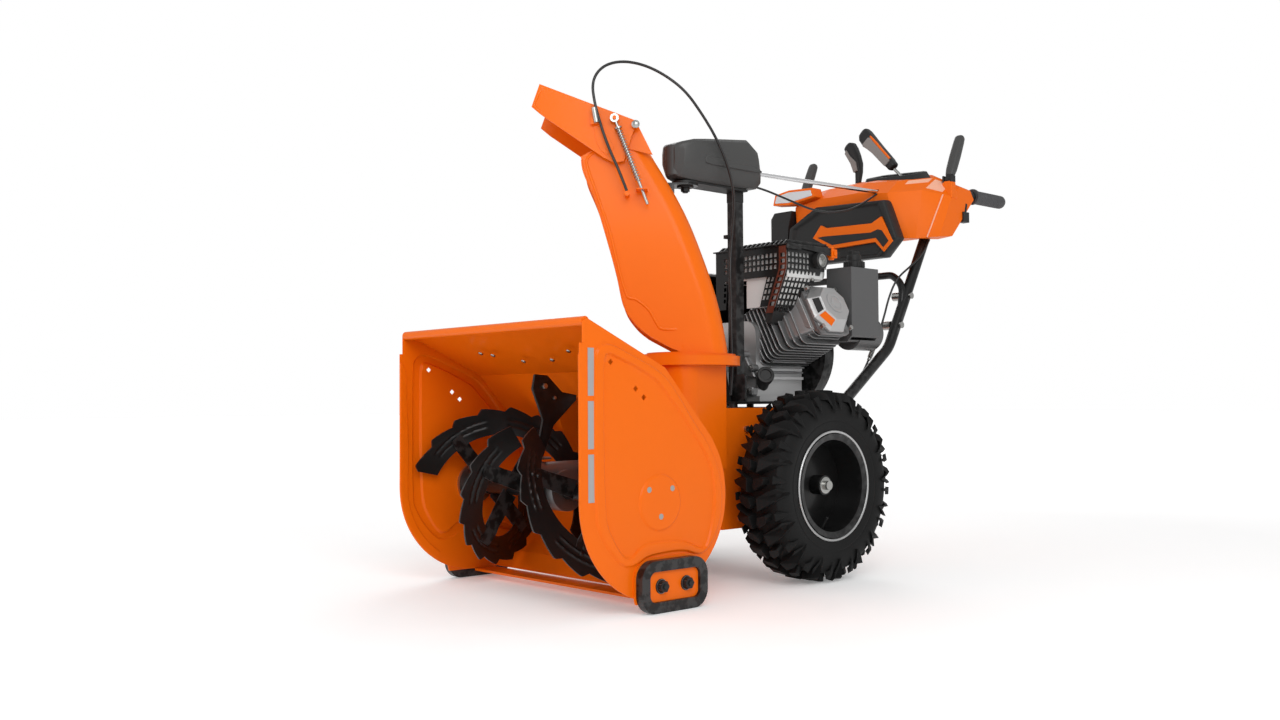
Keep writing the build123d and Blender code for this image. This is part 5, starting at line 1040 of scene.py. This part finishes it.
def make_gear_head():
    piece("gear_head_shell", gear_head(), "grey_plastic", "chassis", ["gear_head_cover"], edge=2.5, crease=28)
    ledge = slab([(-206, 908), (-200, 918), (-188, 915), (-40, 908), (-26, 903), (-26, 899), (-60, 898), (-190, 898),
                  (-204, 900)], (HEAD_X + 47.5, HEAD_X + 52.2))
    piece("gear_head_ledge", ledge, "grey_plastic", "chassis", edge=1.6, crease=40)
    foot = box((HEAD_X - 13.6, HEAD_X + 13.6), (-73.6, -46.4), (834, 862))
    piece("gear_head_foot", foot, "dark_plastic", "chassis", edge=1.0)


# ---- engine: muffler guard, valve cover, fins and small castings ----
GUARD_TOP_Z = 735
GUARD_SIDE_X = 190.0
GUARD_KNEE_Z = 684.0
GUARD_FOOT_X, GUARD_FOOT_Z = 150.0, 588.0
OUTLET_Y, OUTLET_Z = 108, 706       # middle of the exhaust outlet
CYLINDER_LEAN = math.radians(27)


def guard_side_x(z):
    """The guard's left side leans in below its knee."""
    if z >= GUARD_KNEE_Z:
        return GUARD_SIDE_X
    share = (GUARD_KNEE_Z - z) / (GUARD_KNEE_Z - GUARD_FOOT_Z)
    return GUARD_SIDE_X + (GUARD_FOOT_X - GUARD_SIDE_X) * share


def sheet_with_holes(corner, columns, rows, filled, out, thick=1.6, web=0.34):
    """Pressed sheet laid out as a grid: each cell is a plain tile or a frame round an opening."""
    points, faces = [], []
    out = Vector(out).normalized() * thick

    def add(loop):
        start = len(points)
        points.extend([tuple(p) for p in loop])
        return start

    def spot(i, j):
        return corner(i / columns, j / rows)
    for i in range(columns):
        for j in range(rows):
            kind = filled(i, j)
            if kind == "none":
                continue
            outer = [spot(i, j), spot(i + 1, j), spot(i + 1, j + 1), spot(i, j + 1)]
            a, b = add(outer), add([p + out for p in outer])
            if kind == "tile":
                faces.append((a, a + 1, a + 2, a + 3))
                faces.append((b + 3, b + 2, b + 1, b))
                continue
            middle = (outer[0] + outer[1] + outer[2] + outer[3]) / 4
            inner = [p + (middle - p) * web for p in outer]
            c, d = add(inner), add([p + out for p in inner])
            for k in range(4):
                n = (k + 1) % 4
                faces += [(a + k, a + n, c + n, c + k), (b + n, b + k, d + k, d + n), (c + k, c + n, d + n, d + k)]
    return points, faces


def guard_front(u, v):
    z = GUARD_TOP_Z - v * 135
    return Vector((-30 + u * (guard_side_x(z) - 16 + 30), 0, z))


def guard_side(u, v):
    z = GUARD_TOP_Z - v * 147
    return Vector((guard_side_x(z), 2 + u * 130, z))


def side_cell(i, j):
    """The left side is open low down at the back, where the valve cover stands."""
    last = (10, 10, 10, 10, 9, 8, 7, 6, 6, 6, 5)[j]
    if i >= last:
        return "none"
    near_outlet = i > 5 and j < 4
    return "tile" if near_outlet or i == last - 1 or j == 0 else "hole"


def front_cell(i, j):
    if 3 <= i <= 12 and j > 4:
        return "none"
    return "tile" if i in (0, 1, 15) or j in (0, 4) or j > 8 else "hole"


def guard_strip():
    """Folded corner strip with oblong slots down the guard's front left corner."""
    def place(u, v):
        z = 733 - v * 148
        edge = guard_side_x(z) + 0.5
        return Vector((edge - 21 + u * 21, -2.2 - 2.0 * u * (1 - u), z))
    return sheet_with_holes(place, 1, 11, lambda i, j: "hole" if j not in (0, 10) else "tile", (0, -1, 0), 1.4, 0.36)


def make_muffler_guard():
    front = sheet_with_holes(guard_front, 16, 10, front_cell, (0, 1, 0))
    side = sheet_with_holes(guard_side, 10, 11, side_cell, (-1, 0, 0.2))
    lid = join(box((-34, 196), (-6, 150), (GUARD_TOP_Z, 738)), box((192, 196), (-6, 44), (726, 738)),
               slab([(44, 738), (140, 738), (182, 731), (182, 716), (126, 722), (44, 730)], (193, 195.5)))
    ribs = [skin([[(x + 8, -6.5, 734), (x + 14, -6.5, 734), (x + 18, 10, 748), (x + 12, 10, 748)],
                  [(x + 8, 148, 736), (x + 14, 148, 736), (x + 18, 148, 748), (x + 12, 148, 748)]])
            for x in range(-30, 176, 14)]
    foot = skin([[(128, -2, 592), (152, -2, 588), (150, 40, 586), (132, 44, 590)],
                 [(118, 4, 566), (134, 4, 560), (132, 44, 562), (118, 46, 568)]])
    piece("muffler_guard_sheet", join(front, side), "black_paint", "chassis", ["muffler_guard"], crease=30)
    piece("muffler_guard_lid", join(lid, *ribs), "black_paint", "chassis", edge=0.8)
    piece("muffler_guard_foot", foot, "dark_iron", "chassis", edge=2.0)
    # the corner strip is painted dark red as painted shade, for the shade on its front faces
    piece("muffler_guard_corner", guard_strip(), "painted_shade_red", "chassis", crease=30)
    outlet = lathe([(14.0, -6), (18.5, -6), (19.5, -4), (19.5, 12), (17.5, 14), (15.0, 14), (14.0, 10)],
                   (191, OUTLET_Y, OUTLET_Z), (1, 0, 0), 40)
    piece("muffler_outlet_ring", outlet, "dark_iron", "chassis", crease=35)
    inside = join(box((-22, 185), (6, 130), (664, 730)),
                  rod((178, OUTLET_Y, OUTLET_Z), (192, OUTLET_Y, OUTLET_Z), 13.6),
                  skin([[(60, 8, 600), (152, 8, 600), (150, 70, 600), (60, 70, 600)],
                        [(60, 8, 664), (181, 8, 664), (181, 100, 664), (60, 100, 664)]]))
    # the silencer core is painted pale as painted light, so it reads as lit behind the guard's holes
    piece("muffler_core", inside, "silencer_painted_light", "chassis", edge=3, crease=30)
    screws = [rod((GUARD_SIDE_X - 1, y, z), (GUARD_SIDE_X + 5, y, z), 4, 6) for y, z in ((84, 662), (128, 690))]
    piece("muffler_guard_screws", join(*screws), "zinc_steel", "chassis")


def on_cylinder(u, v, w):
    """A point given across, up and along the cylinder's own axis."""
    return (8 - v * math.sin(CYLINDER_LEAN) + w * math.cos(CYLINDER_LEAN), 130 + u,
            500 + v * math.cos(CYLINDER_LEAN) + w * math.sin(CYLINDER_LEAN))


def octagon(flats, w):
    """Corners of an octagon across the cylinder's axis, from its width over the flats."""
    radius = flats / 2 / math.cos(math.pi / 8)
    turns = [math.radians(22.5 + k * 45) for k in range(8)]
    return [on_cylinder(radius * math.cos(turn), radius * math.sin(turn), w) for turn in turns]


def on_cylinder_shape(shape):
    return [on_cylinder(*p) for p in shape[0]], shape[1]


def make_valve_cover():
    shell = skin([octagon(116, 206), octagon(118, 208), octagon(118, 213), octagon(112, 216), octagon(108, 219),
                  octagon(86, 236), octagon(82, 238)])
    piece("valve_cover", shell, "bright_alloy", "chassis", ["rocker_cover"], edge=1.5, crease=20)
    boss = lathe([(18, 0), (24, 0), (26, 0.8), (26, 1.6), (24, 2.0), (20, 2.0), (18, 1.2)], (0, 0, 0), (0, 0, 1), 40)
    disc = lathe([(0.2, 0), (13, 0), (13, 1.4), (9, 2.0), (0.2, 2.0)], (0, 0, 0), (0, 0, 1), 32)
    boss_and_disc = on_cylinder_shape(shifted(join(boss, disc), 2, 2, 237.6))
    piece("valve_cover_boss", boss_and_disc, "bright_alloy", "chassis", crease=30)

    def facet(k, low, high, margin):
        a, b = octagon(107, 220)[k], octagon(107, 220)[(k + 1) % 8]
        c, d = octagon(88, 235.5)[(k + 1) % 8], octagon(88, 235.5)[k]
        a, b, c, d = [Vector(p) for p in (a, b, c, d)]
        middle = (a + b + c + d) / 4
        out = (b - a).cross(d - a).normalized()
        if out.dot(middle - Vector(on_cylinder(0, 0, 200))) < 0:
            out = -out
        loop = [p + (middle - p) * margin for p in (a, b, c, d)]
        return skin([[tuple(p + out * low) for p in loop], [tuple(p + out * high) for p in loop]])
    piece("valve_cover_orange_panel", facet(4, -0.3, 0.9, 0.14), "orange_plastic", "chassis", edge=0.3)
    # painted shade: a dark sheet on the cover's front facet stands in for the shade that falls there
    piece("valve_cover_painted_shade_panel", facet(3, -0.3, 0.9, 0.16), "dark_plastic", "chassis", edge=0.3)
    bolts = [on_cylinder_shape(rod((u, v, 212), (u, v, 222), 5.5, 6))
             for u, v in ((-50, -50), (50, -50), (50, 50), (-50, 50))]
    piece("valve_cover_bolts", join(*bolts), "zinc_steel", "chassis", edge=0.4)


FIN_PLACES = [64 + i * 11.5 for i in range(13)]
FIN_EDGES = [(0.6, -1.7), (0.0, -1.0), (0.0, 1.0), (0.6, 1.7)]      # (inwards, along the cylinder) over a fin's rim


def fin_loop(half_u, half_v, corner, w, front=0.0):
    """Rounded outline of one fin; front is how far it reaches on towards the front."""
    loop = []
    for su, sv, first in ((1, -1, -90), (1, 1, 0), (-1, 1, 90), (-1, -1, 180)):
        for k in range(4):
            turn = math.radians(first + k * 30)
            loop.append(on_cylinder(su * (half_u - corner) + corner * math.cos(turn) - (front if su < 0 else 0.0),
                                    sv * (half_v - corner) + corner * math.sin(turn), w))
    return loop


def make_fins():
    fins = []
    for i, w in enumerate(FIN_PLACES):
        half_u, half_v = (62, 68) if i < 10 else (56, 60)
        front = 52 if i < 7 else max(0, 52 - (i - 6) * 12)
        fins.append(skin([fin_loop(half_u - less, half_v - less, 16, w + step, front) for less, step in FIN_EDGES]))
    core = skin([fin_loop(46, 50, 12, 60, 40), fin_loop(46, 50, 12, 150, 40), fin_loop(46, 50, 12, 208)])
    flange = skin([fin_loop(54, 60, 14, 196), fin_loop(57, 62, 14, 199), fin_loop(57, 62, 14, 206)])
    piece("cylinder_fins", join(core, flange, *fins), "cast_dark", "chassis", ["engine_cylinder"], crease=35)
    guide = skin([[on_cylinder(u, v, w) for u, v, w in loop] for loop in
                  (((-64, -10, 150), (-64, 46, 150), (-64, 46, 196), (-64, -44, 196)),
                   ((-61, -10, 150), (-61, 46, 150), (-61, 46, 196), (-61, -44, 196)))])
    piece("air_guide", guide, "bright_alloy", "chassis", edge=0.8)


CRANKCASE_BOLTS = [(34, 412), (34, 486), (88, 410), (66, 494), (92, 462)]        # (x, z)


def make_crankcase_details():
    filler = join(lathe([(0.2, 0), (18, 0), (20, 1), (20, 17), (18.5, 19), (13, 19.6), (12, 17), (0.2, 17)],
                        (112, 8, 440), (0.76, -0.57, 0.32), 24),
                  rod((84, 30, 424), (112, 6, 438), 16))
    piece("oil_filler_cap", filler, "dark_plastic", "chassis", edge=0.6)
    arms = join(box((20, 96), (-14, 4), (398, 420)), box((24, 44), (-14, 4), (410, 500)),
                skin([[(30, -10, 500), (62, -10, 500), (62, 6, 500), (30, 6, 500)],
                      [(72, -10, 440), (100, -10, 440), (100, 6, 440), (72, 6, 440)]]))
    piece("crankcase_front_arms", arms, "cast_dark", "chassis", edge=4.0)
    bosses = [rod((x, -16, z), (x, 4, z), 8, 20) for x, z in CRANKCASE_BOLTS]
    piece("crankcase_bosses", join(*bosses), "cast_alloy", "chassis", edge=0.8)
    bolts = [rod((x, -21, z), (x, -15, z), 5.2, 6) for x, z in CRANKCASE_BOLTS]
    piece("crankcase_bolts", join(*bolts), "zinc_steel", "chassis", edge=0.4)
    ribs = [slab([(34, z), (150, z), (150, z + 4), (34, z + 4)], (88, 116 - k * 4))
            for k, z in enumerate((474, 462, 450))]
    piece("crankcase_side_ribs", join(*ribs), "cast_alloy", "chassis", edge=1.4)
    valve = join(rod((188, 158, 712), (188, 158, 742), 7), rod((176, 158, 726), (202, 158, 726), 6),
                 box((180, 198), (148, 168), (716, 736)))
    piece("fuel_valve", valve, "orange_plastic", "chassis", edge=1.5)
    piece("fuel_pipe", rod((186, 120, 724), (188, 152, 726), 5.0), "rod_chrome", "chassis", crease=40)


def make_fuel_cap():
    cap = [(0.2, 0), (21, 0), (24, 2), (24, 15), (22, 17), (18, 18), (17, 20), (17, 30), (15.5, 33), (11, 34),
           (0.2, 34)]
    rib = box((-2.6, 2.6), (21.5, 25.4), (1.5, 16))
    turned = [moved(rib, Matrix.Rotation(math.tau * i / 12, 4, "Z")) for i in range(12)]
    wing = box((-6, 6), (-15, 15), (30, 42))
    whole = join(lathe(cap, (0, 0, 0), (0, 0, 1), 36), wing, *turned)
    piece("fuel_cap_knob", shifted(whole, 183, 250, 698.4), "dark_plastic", "fuel_cap_group", ["fuel_cap"], edge=1.2)

# ---- levers and panel ----
def grip_body(line, sections):
    """Rounded grip through sections of (place along, half width, half depth, sideways shift)."""
    foot = Vector(line[0])
    along, side = across_frame(*line)
    return skin([[tuple(foot + along * w + side * (wide * c + shift) + Vector((0, deep * s, 0)))
                  for c, s in rounded_square(16, 0.55, math.pi / 16)] for w, wide, deep, shift in sections])


JOY_LINE = ((78, 560, 996), (-18, 560, 1108))
JOY_GRIP = [(0, 10, 11, 0), (3, 12.5, 13, 0), (15, 13, 13.5, 0), (18, 13.8, 14.2, 0), (70, 14.5, 15, 1.0),
            (100, 17, 16, 3), (116, 19.5, 17, 5), (132, 19, 16.5, 4), (142, 15.5, 13.5, 2), (147, 9, 8, 1)]
JOY_FACE = [(14, 9.5, 1), (18, 10.5, 1), (70, 11.5, 3), (92, 13, 5), (108, 15.5, 7), (113, 12, 8)]


def face_plate(line, sections, y, thick):
    """Flat plate on a grip's front, through sections of (place along, half width, sideways shift)."""
    foot = Vector(line[0])
    along, side = across_frame(*line)
    left = [foot + along * w + side * (wide + shift) for w, wide, shift in sections]
    right = [foot + along * w + side * (shift - wide) for w, wide, shift in sections]
    loop = left + right[::-1]
    return skin([[(p.x, y, p.z) for p in loop], [(p.x, y + thick, p.z) for p in loop]])


SPEED_POINTS = [((-68, 596, 962), 6, 7), ((-66, 598, 985), 7, 8), ((-65, 600, 1008), 9, 10), ((-70, 602, 1030), 13, 13),
                ((-80, 604, 1052), 15, 15), ((-91, 605, 1072), 17, 16), ((-99, 606, 1086), 16, 15),
                ((-103, 606, 1092), 9, 9)]


def speed_grip():
    """Bent grip that widens towards its top."""
    rings = []
    for i, (spot, wide, deep) in enumerate(SPEED_POINTS):
        before = SPEED_POINTS[max(i - 1, 0)][0]
        after = SPEED_POINTS[min(i + 1, len(SPEED_POINTS) - 1)][0]
        side = across_frame(before, after)[1]
        rings.append([tuple(Vector(spot) - side * wide * c + Vector((0, deep * s, 0)))
                      for c, s in rounded_square(16, 0.6, math.pi / 16)])
    return skin(rings)


def make_lever_grips():
    piece("chute_lever_grip", grip_body(JOY_LINE, JOY_GRIP), "dark_plastic", "chute_lever_group", ["chute_lever"],
          crease=38)
    piece("chute_lever_face", face_plate(JOY_LINE, JOY_FACE, 542.6, 5), "grip_face", "chute_lever_group", edge=1.0)
    along, side = across_frame(*JOY_LINE)
    stripe = [Vector(JOY_LINE[0]) + along * w - side * d for w, d in ((20, 9.0), (20, 13.6), (112, 12.6), (112, 7.5))]
    stripe_shape = skin([[(p.x, 545.0, p.z) for p in stripe], [(p.x, 552.0, p.z) for p in stripe]])
    piece("chute_lever_stripe", stripe_shape, "orange_plastic", "chute_lever_group", edge=0.8)
    stem = strand(smooth_line([(118, 560, 912), (110, 560, 940), (101, 560, 968), (80, 560, 991)]), 4.0, 16)
    eye = rod((109.8, 560, 914), (126.2, 560, 914), 8.0, 24)
    pin = rod((100, 560, 914), (136, 560, 914), 4.0, 16)
    piece("chute_lever_stem", join(stem, eye, pin), "zinc_steel", "chute_lever_group", crease=50)
    piece("speed_lever_grip", speed_grip(), "dark_plastic", "speed_lever_group", ["speed_lever"], crease=38)
    face = front_plate([(-74, 1008), (-84, 1034), (-103, 1064), (-98, 1074), (-86, 1056), (-66, 1036), (-62, 1012)],
                       (585.5, 592))
    piece("speed_lever_face", face, "grip_face", "speed_lever_group", edge=1.0)
    stalk = join(skin([[(x, y, z) for x, y in ((-74, 586), (-66, 586), (-66, 598), (-74, 598))] for z in (918, 968)]),
                 rod((-79, 590, 930), (-65, 590, 930), 12, 24))
    piece("speed_lever_stalk", stalk, "zinc_steel", "speed_lever_group", edge=0.8)


def slot_frame():
    """Raised black frame round the chute lever's slot, sloping with the panel's top."""
    def loop(x0, x1, y0, y1, corner, lift):
        outline = [(x0 + corner, y0), (x1 - corner, y0), (x1, y0 + corner), (x1, y1 - corner), (x1 - corner, y1),
                   (x0 + corner, y1), (x0, y1 - corner), (x0, y0 + corner)]
        return [(x, y, 951 + (y - 516) * 0.25 - (x - 60) * 0.06 + lift) for x, y in outline]
    rings = [loop(8, 168, 504, 614, 16, -8), loop(12, 158, 512, 608, 16, 13), loop(16, 155, 515, 604, 14, 15),
             loop(22, 151, 524, 596, 6, 14), loop(24, 149, 526, 594, 5, 12), loop(24, 149, 526, 594, 5, -8)]
    return skin(rings + [rings[0]], caps=False)


def facet_patch(corners, span, lift):
    """Flat patch within a four-cornered facet; span is (from, to) along each of its directions."""
    a, b, c, d = [Vector(p) for p in corners]
    (u0, u1), (v0, v1) = span
    loop = [(a * (1 - u) + b * u) * (1 - v) + (d * (1 - u) + c * u) * v
            for u, v in ((u0, v0), (u1, v0), (u1, v1), (u0, v1))]
    out = (b - a).cross(d - a).normalized()
    if out.y > 0:
        out = -out
    return skin([[tuple(p - out * 0.5) for p in loop], [tuple(p + out * lift) for p in loop]])


PANEL_UPPER = [(150, 432, 905), (206, 498, 912), (206, 560, 952), (150, 476, 940)]
PANEL_CORNER = [(206, 498, 912), (254, 556, 896), (254, 596, 924), (206, 560, 952)]
POD_OUTLINE = [(-160, 768), (-70, 742), (150, 742), (193, 786), (156, 884), (-60, 892), (-150, 846)]


def grown(outline, amount):
    """An outline in (x, z) with each corner moved away from the middle by an amount."""
    cx = sum(p[0] for p in outline) / len(outline)
    cz = sum(p[1] for p in outline) / len(outline)
    made = []
    for x, z in outline:
        far = math.hypot(x - cx, z - cz)
        made.append((cx + (x - cx) * (1 + amount / far), cz + (z - cz) * (1 + amount / far)))
    return made


def pod_shape():
    """Black pod with a sloping rim and a sunk front."""
    steps = ((-4, 446), (2, 428), (0, 408), (-4, 404), (-14, 404), (-24, 411))
    return skin([[(x, y, z) for x, z in (grown(POD_OUTLINE, grow) if grow else POD_OUTLINE)] for grow, y in steps])


def make_control_panel():
    piece("chute_lever_slot_frame", slot_frame(), "dark_plastic", "chassis", edge=1.5, crease=40)
    # painted highlights: pale orange patches on two panel facets and a thin pale strand along a facet crease stand in
    # for glints
    patches = join(facet_patch(PANEL_CORNER, ((0.05, 0.62), (0.18, 0.86)), 0.7),
                   facet_patch(PANEL_UPPER, ((0.3, 0.94), (0.62, 0.92)), 0.7))
    piece("panel_painted_highlight_patches", patches, "painted_highlight_orange", "chassis", edge=0.3)
    crease = strand([(240.5, 537.6, 900.0), (229.6, 483, 790)], 1.8, 8)
    piece("panel_crease_painted_highlight", crease, "painted_highlight_orange", "chassis")
    piece("pod", pod_shape(), "dark_plastic", "chassis", ["dash_panels"], edge=2.0, crease=25)
    side_panel = front_plate([(-226, 800), (-165, 800), (-165, 850), (-152, 896), (-214, 896), (-226, 880)], (418, 470))
    piece("right_side_panel", side_panel, "dark_plastic", "chassis", edge=2.0)
    bezel = front_plate([(-206, 914), (-198, 942), (-150, 949), (-68, 945), (-60, 920), (-150, 909)], (404, 440))
    piece("headlight_bezel", bezel, "orange_plastic", "chassis", edge=2.0)
    lens = front_plate([(-198, 919), (-192, 937), (-150, 943), (-74, 939), (-69, 924), (-150, 915)], (402.4, 405))
    piece("headlight_face", lens, "lens_clear", "chassis", ["headlight_lens"], edge=1.2)
    switch = join(box((240, 258), (602, 628), (836, 862)), rod((250, 616, 858), (250, 622, 884), 6))
    piece("grip_side_clip", switch, "dark_plastic", "chassis", edge=2.0)
    boots = [skin([[(s * 224, 553, 893), (s * 256, 553, 893), (s * 256, 580, 893), (s * 224, 580, 893)],
                   [(s * 227, 557, 937), (s * 253, 557, 937), (s * 253, 576, 937), (s * 227, 576, 937)]])
             for s in (-1, 1)]
    piece("clutch_lever_boots", join(*boots), "orange_plastic", "chassis", edge=2.0)
    cheeks = [box((s * 240 + a, s * 240 + b), (556.5, 575.5), (934, 951))
              for s in (-1, 1) for a, b in ((-13.5, -8.8), (8.8, 13.5))]
    piece("clutch_lever_cheeks", join(*cheeks), "dark_plastic", "chassis", edge=0.8)

place_camera()
dress_cad_nodes()
light_studio()
make_end_plates()
make_augers()
make_wheels()
chute_details()
hood_details()
make_cables()
make_hood_spring()
make_housing_hardware()
make_panel_details()
make_grips_and_levers()
make_gear_head()
make_muffler_guard()
make_valve_cover()
make_fins()
make_crankcase_details()
make_fuel_cap()
make_lever_grips()
make_control_panel()
